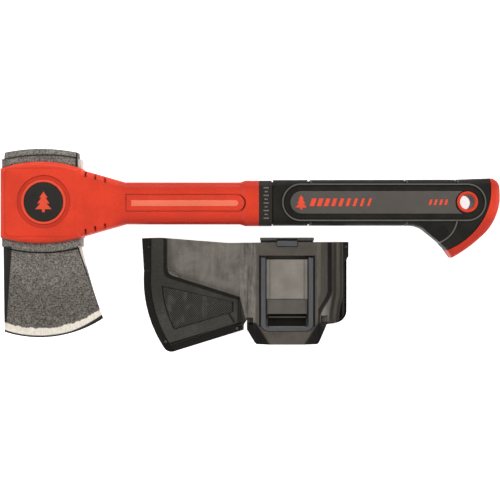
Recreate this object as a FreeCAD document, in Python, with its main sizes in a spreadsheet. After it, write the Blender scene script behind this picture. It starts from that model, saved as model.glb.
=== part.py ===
"""A camp hatchet with its belt sheath, as separate pieces at their real size.

Frame: X runs along the handle from the head to the butt, the cutting edge points to -Y, and Z is up.
The hatchet and the sheath both lie flat on z = 0, the sheath beside the handle.

Both are modelled in "head coordinates": x from the toe face of the collar towards the butt, y from the
handle's axis (the edge is at negative y), z from the middle plane of the blade. The sheath is modelled as it
is worn on the head, and its Placement then turns it and lays it down beside the handle.
"""

import FreeCAD, Part
import math
import os

import Sketcher
from FreeCAD import Vector

# Driving dimensions in millimetres: alias, value, meaning.
DIMENSIONS = [
    # Where the two things lie
    ("overall_length", 355.6, "toe face of the collar to the butt"),
    ("handle_rest_y", 33.4, "handle axis above the middle of the layout"),
    ("sheath_rest_x", 26.1, "where the handle axis of the sheath lies along X"),
    ("sheath_rest_y", 5.4, "where the toe face in the sheath lies along Y"),
    # Steel head
    ("eye_toe_x", 1.0, "toe side of the eye block"),
    ("eye_heel_x", 57.2, "heel side of the eye block"),
    ("eye_top_y", 31.4, "where the eye block meets the poll"),
    ("eye_bottom_y", -31.0, "ends of the arc under the eye block"),
    ("eye_bottom_sag", 4.0, "depth of that arc"),
    ("eye_thickness", 18.4, "eye block across the cheeks"),
    ("poll_toe_x", 2.4, "toe side of the poll"),
    ("poll_heel_x", 54.6, "heel side of the poll"),
    ("poll_corner_y", 36.3, "ends of the poll's striking face"),
    ("poll_crown", 2.7, "crown of the striking face"),
    ("poll_thickness", 16.0, "poll across"),
    ("poll_bevel", 3.0, "bevel round the striking face"),
    ("poll_bevel_depth", 1.4, "how far that bevel drops"),
    ("blade_toe_x", 1.4, "straight toe side of the blade"),
    ("heel_neck_x", 56.2, "heel side of the blade under the eye block"),
    ("heel_tip_x", 72.3, "heel corner of the edge"),
    ("heel_sag", 0.9, "hollow of the heel side"),
    ("edge_centre_x", 26.6, "centre of the cutting edge's arc"),
    ("edge_centre_y", -13.2, "centre of the cutting edge's arc"),
    ("edge_radius", 83.0, "radius of the cutting edge"),
    ("bevel_width", 6.5, "ground bevel along the edge"),
    ("edge_half", 0.12, "half thickness at the very edge"),
    ("bevel_half", 1.35, "half thickness where the bevel starts"),
    ("cheek_half", 10.0, "half thickness of the cheek cones at their axis"),
    ("toe_facet", 5.4, "width of the toe side's facet under the eye"),
    ("toe_facet_end_y", -80.0, "where the toe side's facet runs out"),
    # Handle core
    ("core_eye_half", 17.0, "half width of the core in the eye"),
    ("core_half", 9.0, "half width of the core in the handle"),
    ("core_thickness", 12.0, "core across"),
    ("core_eye_end_x", 62.0, "where the core starts to narrow"),
    ("core_neck_x", 82.0, "where the core is down to its handle width"),
    ("core_end_x", 340.4, "butt end of the core"),
    ("core_round", 3.0, "rounding of the core's corners"),
    # Orange shaft cover with its collar
    ("collar_length", 58.0, "collar along the handle"),
    ("collar_edge_y", 24.6, "half width of the collar at its ends"),
    ("collar_top_sag", 5.0, "crown of the collar's poll side"),
    ("collar_bottom_sag", 4.0, "crown of the collar's blade side"),
    ("collar_thickness", 26.0, "collar across"),
    ("collar_round", 3.6, "rounding of the collar's rims"),
    ("taper_start_y", 23.7, "half width where the taper leaves the collar"),
    ("taper_end_x", 82.4, "end of the straight taper"),
    ("taper_end_y", 16.8, "half width there"),
    ("shaft_start_x", 88.7, "start of the straight shaft"),
    ("shaft_half", 15.0, "half width of the shaft"),
    ("shaft_thickness", 21.2, "shaft across"),
    ("shaft_end_x", 170.8, "end of the straight shaft"),
    ("flare_x", 174.4, "end of the flare"),
    ("flare_half", 16.2, "half width past the flare"),
    ("flare_thickness", 24.4, "thickness past the flare, and of the grip"),
    ("cover_end_x", 184.1, "where the orange cover ends"),
    ("rib_width", 1.4, "notches on the taper"),
    ("rib_length", 4.6, "how far a notch runs in from the rim"),
    ("rib_depth", 3.4, "depth of a notch from the collar's face"),
    ("rib_first_x", 60.2, "first notch"),
    ("rib_pitch", 6.9, "distance between notches"),
    # Badge on the collar
    ("badge_x", 31.1, "badge centre along the handle"),
    ("badge_y", 0.8, "badge centre across the handle"),
    ("badge_radius", 14.1, "black disc"),
    ("badge_rim_radius", 15.9, "raised rim round the disc"),
    ("badge_dish_radius", 18.9, "dished ring round the rim"),
    ("badge_dish_depth", 0.7, "depth of the dished ring"),
    ("badge_depth", 1.4, "thickness of the disc"),
    ("badge_bevel", 0.3, "bevel of the disc's rim"),
    ("badge_sink", 0.3, "how far the disc sits below the collar's face"),
    # Long inlay in the shaft
    ("inlay_groove_start_x", 88.9, "groove round the shaft inlay, head end"),
    ("inlay_groove_end_x", 174.9, "groove round the shaft inlay, grip end"),
    ("inlay_groove_half", 6.5, "half width of that groove"),
    ("inlay_groove_width", 1.1, "width of the groove itself"),
    ("inlay_groove_depth", 0.5, "depth of the groove"),
    ("inlay_start_x", 93.3, "shaft inlay, head end"),
    ("inlay_end_x", 169.4, "shaft inlay, grip end"),
    ("inlay_half", 2.05, "half width of the shaft inlay"),
    ("inlay_depth", 0.8, "thickness of the shaft inlay"),
    # Grip
    ("band_end_x", 193.3, "end of the plain band"),
    ("neck_end_x", 194.4, "end of the groove between band and grip"),
    ("neck_depth", 1.1, "depth of that groove"),
    ("grip_top_y", 16.6, "poll side of the grip"),
    ("grip_low_y", -15.9, "edge side of the grip"),
    ("grip_round", 4.2, "rounding of the shaft's and the band's long edges"),
    ("butt_round", 4.2, "rounding of the grip's and the butt cap's rims"),
    ("hook_start_x", 292.45, "where the underside turns down to the hook"),
    ("hook_bend_x", 303.4, "end of that bend"),
    ("hook_bend_y", -19.86, "end of that bend"),
    ("hook_bend_sag", 1.02, "hollow of the bend"),
    ("hook_heel_x", 313.48, "front corner of the hook, grip side"),
    ("hook_heel_y", -28.25, "front corner of the hook, grip side"),
    ("hook_front_x", 316.79, "front corner of the hook, tip side"),
    ("hook_front_y", -31.93, "front corner of the hook, tip side"),
    ("hook_heel_sag", 0.179, "rounding of that corner"),
    ("hook_seam_x", 317.9, "hook end of the seam between grip and butt cap"),
    ("hook_seam_y", -33.6, "hook end of that seam"),
    ("hook_tip_x", 321.7, "tip of the hook"),
    ("hook_tip_y", -39.0, "tip of the hook"),
    ("butt_top_x", 348.2, "butt cap's top corner"),
    ("butt_top_y", 17.8, "butt cap's top corner"),
    ("butt_nose_y", 10.8, "end of the butt's rounded top"),
    ("butt_nose_sag", 2.2, "rounding of the butt's top"),
    ("butt_low_x", 341.8, "where the butt's back straightens"),
    ("butt_low_y", -24.6, "where the butt's back straightens"),
    ("butt_back_sag", 5.0, "crown of the butt's back"),
    ("butt_hook_sag", 0.8, "crown of the hook's back"),
    ("seam_mid_x", 344.1, "middle of the seam"),
    ("seam_mid_y", -10.8, "middle of the seam"),
    ("seam_top_sag", 2.6, "crown of the seam's top half"),
    ("seam_low_sag", 3.0, "crown of the seam's lower half"),
    ("track_start_x", 214.0, "centre of the racetrack's round head end"),
    ("track_y", 0.5, "axis of the racetrack"),
    ("track_radius", 12.4, "inside of the racetrack's bead"),
    ("bead_width", 0.9, "racetrack's bead"),
    ("bead_height", 0.45, "racetrack's bead above the grip"),
    ("track_sink", 0.55, "how deep the field inside the bead lies"),
    ("panel_start_x", 214.6, "centre of the grip inlay's round end"),
    ("panel_half", 8.0, "half width of the grip inlay"),
    ("panel_sink", 0.25, "how deep the grip inlay's face lies"),
    ("panel_thickness", 1.4, "thickness of the grip inlay"),
    ("notch_width", 1.7, "notches across the grip's rims"),
    ("notch_first_x", 219.7, "first notch"),
    ("notch_second_x", 288.2, "second notch"),
    ("notch_third_x", 324.3, "third notch, on the poll side only"),
    ("notch_depth", 1.0, "depth of the notches"),
    ("scoop_x", 306.5, "middle of the finger scoop over the hook"),
    ("scoop_y", -27.0, "middle of the finger scoop over the hook"),
    ("scoop_half", 14.2, "radius of the scoop's rim on the grip's face"),
    ("scoop_depth", 4.6, "depth of the scoop in its middle"),
    # Eyelet
    ("eyelet_x", 332.4, "lanyard hole"),
    ("eyelet_y", 0.8, "lanyard hole"),
    ("eyelet_bore", 5.3, "radius of the lanyard hole"),
    ("eyelet_tube", 6.5, "outer radius of the eyelet's tube"),
    ("eyelet_flange", 7.5, "radius of the eyelet's flanges"),
    ("eyelet_flange_depth", 1.2, "thickness of a flange"),
    ("eyelet_half", 12.5, "half length of the eyelet"),
    ("eyelet_lead", 0.6, "slope at the mouths of the hole"),
    # Sheath: outline, worn on the head
    ("rim_radius", 89.3, "outside of the rim along the edge, about the edge's centre"),
    ("rim_toe_x", -3.1, "toe side corner by the edge"),
    ("rim_toe_y", -103.7, "toe side corner by the edge"),
    ("rim_start_x", 20.0, "where the rim starts to follow the edge"),
    ("mouth_bit_x", -3.5, "mouth, over the bit"),
    ("mouth_bit_y", -90.0, "mouth, over the bit"),
    ("mouth_mid_x", 0.3, "mouth, at the belt panel"),
    ("mouth_mid_y", -41.7, "mouth, at the belt panel"),
    ("mouth_poll_x", -0.4, "mouth, at the poll"),
    ("boss_y", 44.2, "outside of the boss at the mouth of the poll pocket"),
    ("boss_end_x", 10.2, "end of that boss"),
    ("poll_side_y", 43.0, "outside of the poll pocket"),
    ("poll_low_x", 57.6, "heel side of the poll pocket"),
    ("poll_corner", 9.0, "corner of the poll pocket"),
    ("heel_low_x", 77.8, "heel corner of the blade pocket, lobe side"),
    ("heel_low_y", -79.4, "heel corner of the blade pocket, lobe side"),
    ("heel_edge_x", 76.2, "heel corner of the blade pocket, edge side"),
    ("heel_corner_sag", 1.4, "rounding of that corner"),
    ("lobe_left_x", 61.6, "edge side root of the lobe"),
    ("lobe_right_x", 58.0, "poll side root of the lobe"),
    ("lobe_root_y", 28.3, "half width of the lobe at its root"),
    ("lobe_end_x", 72.1, "end of the lobe"),
    ("lobe_end_y", 22.9, "half width of the lobe at its end"),
    ("lobe_corner", 1.4, "corners of the lobe's end"),
    # Sheath: heights of the outside from the middle plane
    ("rim_height", 1.8, "outside at the rim along the edge"),
    ("rim_slope_y", -97.2, "where the slope of the rim ends"),
    ("tip_height", 5.0, "outside there"),
    ("bit_y", -88.0, "outside over the edge bevel"),
    ("bit_height", 5.6, "outside over the edge bevel"),
    ("cheek_y", -38.0, "outside at the root of the blade"),
    ("cheek_height", 12.3, "outside at the root of the blade"),
    ("shoulder_y", -32.4, "foot of the slope to the belt panel"),
    ("shoulder_height", 13.5, "foot of the slope to the belt panel"),
    ("panel_edge_y", 21.6, "half width of the belt panel's flat"),
    ("panel_height", 22.0, "belt panel's face"),
    ("poll_shoulder_y", 32.0, "poll side of the belt panel's slope"),
    ("poll_height", 12.6, "outside over the poll, and of the covers"),
    ("poll_round", 3.4, "slope along the poll pocket's rim"),
    ("cover_flat_y", -43.0, "where the blade cover's flat starts"),
    ("frame_rise", 1.1, "how far the raised frame stands proud"),
    ("heel_chamfer", 5.6, "slope along the heel rim, across"),
    ("heel_chamfer_drop", 3.9, "slope along the heel rim, down"),
    ("rim_drop", 3.6, "slope along the curved rim, down"),
    ("ledge_y", 41.0, "dark ledge along the poll pocket's rim"),
    ("ledge_height", 6.0, "height of that ledge"),
    ("ledge_start_x", 10.4, "mouth end of that ledge"),
    ("lobe_facet_x", 56.7, "where the lobe's facets start"),
    ("lobe_facet_end_y", 12.0, "half width of the lobe's flat at its end"),
    ("lobe_facet_slope", 0.72, "fall of the lobe's facets"),
    ("relief_left_x", 53.2, "blind pocket at the lobe's root, edge side"),
    ("relief_right_x", 51.8, "blind pocket at the lobe's root, poll side"),
    ("relief_near_y", 23.9, "those pockets, inner side"),
    ("relief_far_y", 28.7, "those pockets, outer side"),
    ("relief_length", 5.4, "those pockets along the handle"),
    ("relief_floor", 15.0, "floor of those pockets"),
    # Sheath: cavity
    ("fit_gap", 0.8, "clearance between sheath and head"),
    ("cavity_tip_y", -98.0, "bottom of the blade pocket"),
    ("cavity_tip", 1.4, "half height of the cavity at the edge"),
    ("cavity_bit_y", -88.7, "cavity over the edge bevel"),
    ("cavity_bit", 2.4, "cavity over the edge bevel"),
    ("cavity_cheek_y", -36.2, "cavity at the root of the blade"),
    ("cavity_cheek", 9.6, "cavity at the root of the blade"),
    ("cavity_eye", 10.8, "cavity over the eye block"),
    ("cavity_collar", 13.8, "cavity over the collar"),
    ("cavity_collar_y", 30.6, "half width of the collar's channel"),
    ("cavity_round", 3.0, "slope at the channel's corners"),
    ("cavity_eye_y", 32.3, "poll side of the eye block's cavity"),
    ("cavity_poll", 9.4, "cavity over the poll"),
    ("cavity_poll_y", 39.9, "cavity beyond the poll"),
    ("cavity_poll_x", 55.3, "heel side of the poll's cavity"),
    ("cavity_poll_corner", 4.0, "corner of the poll's cavity"),
    ("cavity_heel_x", 58.2, "heel side of the cavity, by the eye block"),
    ("cavity_tip_x", 73.7, "heel corner of the blade's cavity"),
    # Sheath: raised frame and textured pad
    ("frame_rim_y", -96.6, "rim side of the frame"),
    ("frame_inner_y", -85.4, "inner side of the frame along the edge"),
    ("frame_corner_x", 21.0, "where the frame's inner corner starts"),
    ("frame_bend_x", 25.3, "where the frame's inner corner ends"),
    ("frame_bend_y", -76.5, "where the frame's inner corner ends"),
    ("frame_bend_sag", 2.0, "rounding of the frame's inner corner"),
    ("frame_diag_x", 38.7, "far end of the slanted bar"),
    ("frame_diag_y", -33.4, "far end of the slanted bar"),
    ("frame_foot_x", 55.2, "foot of the frame by the lobe"),
    ("frame_rim_radius", 83.6, "rim side of the frame where it follows the edge"),
    ("pad_arc_radius", 76.2, "curved side of the textured pad"),
    ("pad_near_x", 31.0, "corner of the textured pad nearest the mouth"),
    ("pad_far_x", 62.4, "corner of the textured pad nearest the heel"),
    ("pad_tip_y", -37.8, "narrow end of the textured pad"),
    ("pad_tip_near_x", 42.2, "narrow end of the textured pad"),
    ("pad_tip_far_x", 49.4, "narrow end of the textured pad"),
    ("pad_thickness", 0.9, "thickness of the textured pad"),
    ("pad_sink", 0.2, "how far the pad sits below the frame"),
    # Sheath: belt clip
    ("window_top_x", 9.4, "window for the clip, mouth end"),
    ("window_low_x", 62.8, "window for the clip, lobe end"),
    ("window_half", 18.7, "half width of the window"),
    ("window_corner", 5.0, "corners of the window"),
    ("well_floor", 15.9, "height of the well's floor"),
    ("bridge_under", 20.4, "underside of the bridge over the clip's hinge"),
    ("base_thickness", 0.9, "clip base plate"),
    ("base_gap", 0.1, "slack of the clip base in its well"),
    ("saddle_height", 20.9, "face of the raised saddle in the clip base"),
    ("saddle_start_x", 12.1, "saddle, mouth end"),
    ("saddle_end_x", 50.5, "saddle, lobe end"),
    ("saddle_half", 14.9, "half width of the saddle"),
    ("saddle_round", 1.4, "rounding of the saddle's long edges"),
    ("thumb_start_x", 39.9, "thumb flat on the saddle"),
    ("thumb_half", 13.4, "half width of the thumb flat"),
    ("thumb_sink", 0.6, "depth of the thumb flat"),
    ("catch_x", 52.2, "catch rib in the lower slot"),
    ("catch_width", 1.2, "catch rib"),
    ("catch_height", 18.8, "catch rib"),
    ("flange_x", -3.4, "outside of the clip base's flange at the mouth"),
    ("flange_thickness", 2.1, "flange"),
    ("flange_half", 19.0, "half width of the flange"),
    ("flange_high", 20.0, "flange, upper height"),
    ("flange_cut_x", -2.3, "flange where the thumb tab moves"),
    ("lever_half", 18.3, "half width of the clip lever"),
    ("lever_arm", 3.1, "width of the lever's arms"),
    ("lever_start_x", 10.9, "mouth end of the lever's arms"),
    ("lever_end_x", 62.4, "end of the lever's bow"),
    ("lever_bow", 2.6, "width of the lever's bow"),
    ("lever_low", 20.3, "underside of the lever's arms"),
    ("lever_high", 22.4, "face of the lever's arms"),
    ("web_low", 17.8, "underside of the webs beside the barrel"),
    ("web_high", 19.2, "upper side of the webs under the bridge"),
    ("web_end_x", 15.0, "where the webs run out in the arms"),
    ("tab_half", 7.0, "half width of the thumb tab"),
    ("tab_top_x", -1.0, "thumb tab, mouth end"),
    ("tab_low_x", 2.6, "thumb tab, clip end"),
    ("tab_low", 19.5, "underside of the thumb tab"),
    ("tab_high", 22.6, "face of the thumb tab"),
    ("notch_gap", 0.4, "gap round the thumb tab"),
    ("hinge_x", 5.6, "hinge of the clip"),
    ("hinge_z", 18.6, "hinge of the clip"),
    ("hinge_pin_radius", 0.8, "hinge pin"),
    ("hinge_clearance", 0.05, "running clearance on the pin"),
    ("hinge_barrel", 1.4, "barrel of the lever round the pin"),
    ("hinge_seat", 2.0, "how far the pin reaches into the panel's sides"),
    ("spring_leaf", 0.25, "thickness of the clip's leaf spring"),
    ("spring_half", 5.0, "half width of the leaf spring"),
    # Rivets
    ("rivet_radius", 0.95, "rivet"),
    ("rivet_sink", 0.6, "how deep a rivet's ends sit in their holes"),
    ("rivet_rim_x", 70.9, "rivet at the heel end of the rim"),
    ("rivet_rim_y", -86.4, "rivet at the heel end of the rim"),
    ("rivet_heel_x", 61.2, "rivet by the lobe"),
    ("rivet_heel_y", -35.3, "rivet by the lobe"),
    ("rivet_poll_x", 56.4, "rivet at the heel end of the poll pocket"),
    ("rivet_poll_y", 34.3, "rivet at the heel end of the poll pocket"),
    ("rivet_mouth_x", 3.0, "rivets at the mouth"),
    ("rivet_boss_y", 42.0, "rivet in the boss"),
    ("rivet_toe_y", -98.6, "rivet at the toe end of the rim"),
]


class Size:
    """A length read from the sheet: its number, and the expression that ties a feature to the sheet."""

    def __init__(self, value, text):
        self.value = float(value)
        self.text = text

    @staticmethod
    def of(other):
        return other if isinstance(other, Size) else Size(other, f"({float(other)!r})")

    def __add__(self, other):
        other = Size.of(other)
        return Size(self.value + other.value, f"({self.text} + {other.text})")

    def __sub__(self, other):
        other = Size.of(other)
        return Size(self.value - other.value, f"({self.text} - {other.text})")

    def __rsub__(self, other):
        return Size.of(other) - self

    def __mul__(self, other):
        other = Size.of(other)
        return Size(self.value * other.value, f"({self.text} * {other.text})")

    def __truediv__(self, other):
        other = Size.of(other)
        return Size(self.value / other.value, f"({self.text} / {other.text})")

    def __neg__(self):
        return Size(-self.value, f"(0 - {self.text})")

    def root(self):
        return Size(math.sqrt(self.value), f"sqrt({self.text})")

    __radd__ = __add__
    __rmul__ = __mul__


class Sheet:
    """The spreadsheet, read as attributes: sheet.wall is the Size of the cell with that alias."""

    def __init__(self, doc, rows):
        self.cells = doc.addObject("Spreadsheet::Sheet", "Dimensions")
        for number, (alias, value, meaning) in enumerate(rows, start=1):
            self.cells.set(f"A{number}", meaning)
            self.cells.set(f"B{number}", str(value))
            self.cells.setAlias(f"B{number}", alias)
        doc.recompute()

    def __getattr__(self, alias):
        return Size(self.cells.get(alias), f"{self.cells.Name}.{alias}")


doc = FreeCAD.newDocument("Hatchet")
dims = Sheet(doc, DIMENSIONS)
zero = Size(0, "0")
HATCHET = (-dims.overall_length / 2, dims.handle_rest_y, dims.collar_thickness / 2, 0)
SHEATH = (dims.sheath_rest_x, dims.sheath_rest_y, dims.poll_height, -90)
TALL = Size(40, "40")
QUARTER = 1 - math.sqrt(0.5)  # sag of a quarter circle of radius 1


def place(thing, where):
    """Puts a sub-part in the row frame: x, y and z of its own origin, and its turn about Z in degrees."""
    thing.Placement.Rotation = FreeCAD.Rotation(Vector(0, 0, 1), where[3])
    for axis, size in zip("xyz", where):
        thing.setExpression(f"Placement.Base.{axis}", size.text)
    return thing


def new_body(name, where):
    return place(doc.addObject("PartDesign::Body", name), where)


def plane(body, role):
    return next(f for f in body.Origin.OriginFeatures if f.Role == role)


def tie(sketch, vertex, x, y):
    """Holds a sketch vertex, given as (geometry, end), at x, y from the sketch's origin."""
    for kind, axis, size in (("DistanceX", -2, x), ("DistanceY", -1, y)):
        if abs(size.value) < 1e-9:
            sketch.addConstraint(Sketcher.Constraint("PointOnObject", *vertex, axis))
        elif size.value > 0:
            index = sketch.addConstraint(Sketcher.Constraint(kind, -1, 1, *vertex, size.value))
            sketch.setExpression(f"Constraints[{index}]", size.text)
        else:
            index = sketch.addConstraint(Sketcher.Constraint(kind, *vertex, -1, 1, -size.value))
            sketch.setExpression(f"Constraints[{index}]", (-size).text)


def draw_loop(sketch, corners):
    """A closed loop of lines and arcs. A corner is (x, y), or (x, y, sag) when the way to the next one is an
    arc that bulges by sag to the left, or to the right when sag is negative."""
    ends = []
    for corner, following in zip(corners, corners[1:] + corners[:1]):
        x0, y0, x1, y1 = (Size.of(v) for v in (*corner[:2], *following[:2]))
        start, end = Vector(x0.value, y0.value), Vector(x1.value, y1.value)
        if len(corner) == 2:
            line = sketch.addGeometry(Part.LineSegment(start, end))
            ends.append(((line, 1), (line, 2)))
            continue
        sag = Size.of(corner[2])
        bulge = sag if sag.value > 0 else -sag
        radius = (((x1 - x0) * (x1 - x0) + (y1 - y0) * (y1 - y0)) / 4 + bulge * bulge) / (2 * bulge)
        chord = end - start
        left = Vector(-chord.y, chord.x).normalize()
        centre = (start + end) / 2 + left * (sag.value - math.copysign(radius.value, sag.value))
        angles = [math.atan2(p.y - centre.y, p.x - centre.x) for p in (start, end)]
        clockwise = sag.value > 0
        first, last = reversed(angles) if clockwise else angles
        circle = Part.Circle(centre, Vector(0, 0, 1), radius.value)
        last += 0 if last > first else 2 * math.pi
        arc = sketch.addGeometry(Part.ArcOfCircle(circle, first, last))
        index = sketch.addConstraint(Sketcher.Constraint("Radius", arc, radius.value))
        sketch.setExpression(f"Constraints[{index}]", radius.text)
        ends.append(((arc, 2), (arc, 1)) if clockwise else ((arc, 1), (arc, 2)))
    for (begin, _), (_, before), corner in zip(ends, ends[-1:] + ends[:-1], corners):
        sketch.addConstraint(Sketcher.Constraint("Coincident", *before, *begin))
        tie(sketch, begin, Size.of(corner[0]), Size.of(corner[1]))


def draw_circle(sketch, x, y, radius):
    x, y, radius = Size.of(x), Size.of(y), Size.of(radius)
    ring = sketch.addGeometry(Part.Circle(Vector(x.value, y.value), Vector(0, 0, 1), radius.value))
    index = sketch.addConstraint(Sketcher.Constraint("Radius", ring, radius.value))
    sketch.setExpression(f"Constraints[{index}]", radius.text)
    tie(sketch, (ring, 3), x, y)


def sketch_on(body, name, role, loops=(), circles=(), offset=(zero, zero, zero)):
    """A sketch on one of the body's own planes, moved by offset in the plane's own axes."""
    sketch = body.newObject("Sketcher::SketchObject", name)
    sketch.AttachmentSupport = [(plane(body, role), "")]
    sketch.MapMode = "FlatFace"
    for axis, size in zip("xyz", offset):
        sketch.setExpression(f"AttachmentOffset.Base.{axis}", Size.of(size).text)
    for corners in loops:
        draw_loop(sketch, list(corners))
    for circle in circles:
        draw_circle(sketch, *circle)
    doc.recompute()
    return sketch


def feature(body, kind, name, sketch, length=None, symmetric=False, through=False):
    """A Pad or Pocket of a sketch: by a length, symmetric about its plane, or through everything."""
    made = body.newObject(f"PartDesign::{kind}", name)
    made.Profile = sketch
    if symmetric:
        made.SideType = "Symmetric"
    if through:
        made.Type = "ThroughAll"
    else:
        made.setExpression("Length", Size.of(length).text)
    doc.recompute()
    return made


def pad(body, name, sketch, length, symmetric=False):
    return feature(body, "Pad", name, sketch, length, symmetric)


def cut_down(body, name, sketch, depth):
    """A pocket that cuts towards -Z from a sketch drawn above the face."""
    return feature(body, "Pocket", name, sketch, depth)


def cut_through(body, name, sketch):
    return feature(body, "Pocket", name, sketch, symmetric=True, through=True)


def turned(body, kind, name, sketch):
    """A full Revolution or Groove about the sketch's own vertical axis."""
    made = body.newObject(f"PartDesign::{kind}", name)
    made.Profile = sketch
    made.ReferenceAxis = (sketch, ["V_Axis"])
    made.Angle = 360
    doc.recompute()
    return made


def mirror(body, name, originals):
    """Repeats features on the other face of the middle plane."""
    made = body.newObject("PartDesign::Mirrored", name)
    made.Originals = originals
    made.MirrorPlane = (plane(body, "XY_Plane"), [""])
    body.Tip = made
    doc.recompute()
    return made


def edges_where(thing, test):
    """Names of the edges of a feature that pass a test on (edge, middle point)."""
    found = []
    for number, edge in enumerate(thing.Shape.Edges, start=1):
        first, last = edge.ParameterRange
        if test(edge, edge.valueAt((first + last) / 2)):
            found.append(f"Edge{number}")
    return found


def dress(body, kind, name, base, test, size, size2=None):
    """A Fillet or Chamfer of the edges that pass the test."""
    made = body.newObject(f"PartDesign::{kind}", name)
    made.Base = (base, edges_where(base, test))
    if kind == "Fillet":
        made.setExpression("Radius", size.text)
    else:
        made.setExpression("Size", size.text)
        if size2 is not None:
            made.ChamferType = "Two distances"
            made.setExpression("Size2", size2.text)
    doc.recompute()
    return made


def boolean(kind, name, first, *others):
    """Part::Cut of first by each of the others in turn, or Part::Common or Part::MultiFuse of them all."""
    if kind == "Cut":
        result = first
        for count, other in enumerate(others, start=1):
            step = doc.addObject("Part::Cut", name if count == len(others) else f"{name}_{count}")
            step.Base, step.Tool = result, other
            result = step
    elif kind == "Common":
        result = doc.addObject("Part::Common", name)
        result.Base, result.Tool = first, others[0]
    else:
        result = doc.addObject("Part::MultiFuse", name)
        result.Shapes = [first, *others]
    doc.recompute()
    return result


def circle_y(x, radius):
    """Y of the lower point at x on a circle about the centre of the cutting edge's arc."""
    across = x - dims.edge_centre_x
    return dims.edge_centre_y - (radius * radius - across * across).root()


def sagitta(x0, y0, x1, y1, radius):
    """How far an arc of this radius bulges from the chord between two points."""
    half_squared = ((x1 - x0) * (x1 - x0) + (y1 - y0) * (y1 - y0)) / 4
    return radius - (radius * radius - half_squared).root()


def stadium(start_x, end_x, y, half):
    """A slot with two round ends, by the centres of its ends."""
    sag = -half * QUARTER
    return [
        (start_x, y + half, sag), (start_x - half, y, sag), (start_x, y - half),
        (end_x, y - half, sag), (end_x + half, y, sag), (end_x, y + half),
    ]


def rectangle(x0, x1, y0, y1):
    return [(x0, y0), (x1, y0), (x1, y1), (x0, y1)]


def prism(name, where, role, corners, length, offset=(zero, zero, zero)):
    """A body made of one outline, padded evenly to both sides of its plane."""
    body = new_body(name, where)
    sketch = sketch_on(body, f"{name}_outline", role, [corners], offset=offset)
    pad(body, f"{name}_pad", sketch, length, symmetric=True)
    return body


def rounded_section(half_y, half_z, radius):
    """A rectangle with round corners, centred, as a counter-clockwise loop."""
    sag = radius * QUARTER
    y, z = half_y - radius, half_z - radius
    return [
        (y, -half_z, -sag), (half_y, -z), (half_y, z, -sag), (y, half_z),
        (-y, half_z, -sag), (-half_y, z), (-half_y, -z, -sag), (-y, -half_z),
    ]


# ---- hatchet ------------------------------------------------------------------------------------


def make_core():
    """The nylon spine that runs from the eye to the butt."""
    body = new_body("core_blank", HATCHET)
    eye, half = dims.core_eye_half, dims.core_half
    start = dims.eye_toe_x + 0.6
    outline = sketch_on(body, "core_outline", "XY_Plane", [[
        (start, eye), (dims.core_eye_end_x, eye), (dims.core_neck_x, half), (dims.core_end_x, half),
        (dims.core_end_x, -half), (dims.core_neck_x, -half), (dims.core_eye_end_x, -eye), (start, -eye),
    ]])
    blank = pad(body, "core_pad", outline, dims.core_thickness, symmetric=True)
    near = dims.core_thickness.value / 2 - 0.01
    dress(body, "Fillet", "core_round_edges", blank,
          lambda edge, mid: abs(mid.z) > near and abs(mid.y) > 1, dims.core_round)
    return body


def head_facet(body, side, upper):
    """The long facet that falls off the cheek at the toe side."""
    end = dims.toe_facet_end_y
    root_z = dims.cheek_half * 0.79
    wide = [
        (dims.blade_toe_x - 1, root_z * 0.62), (dims.blade_toe_x + dims.toe_facet + 1.5, root_z * 1.16),
        (dims.blade_toe_x - 1, root_z * 1.16),
    ]
    narrow = [
        (dims.blade_toe_x - 1, dims.bevel_half * 1.05), (dims.blade_toe_x + 0.4, dims.bevel_half * 2.1),
        (dims.blade_toe_x - 1, dims.bevel_half * 2.1),
    ]
    if not upper:
        wide = [(x, -z) for x, z in wide]
        narrow = [(x, -z) for x, z in narrow]
    first = sketch_on(body, f"facet_root_{side}", "XZ_Plane", [wide], offset=(zero, zero, Size.of(30)))
    last = sketch_on(body, f"facet_end_{side}", "XZ_Plane", [narrow], offset=(zero, zero, -end))
    facet = body.newObject("PartDesign::SubtractiveLoft", f"facet_{side}")
    facet.Profile = first
    facet.Sections = [last]
    facet.Ruled = True
    doc.recompute()


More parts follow.
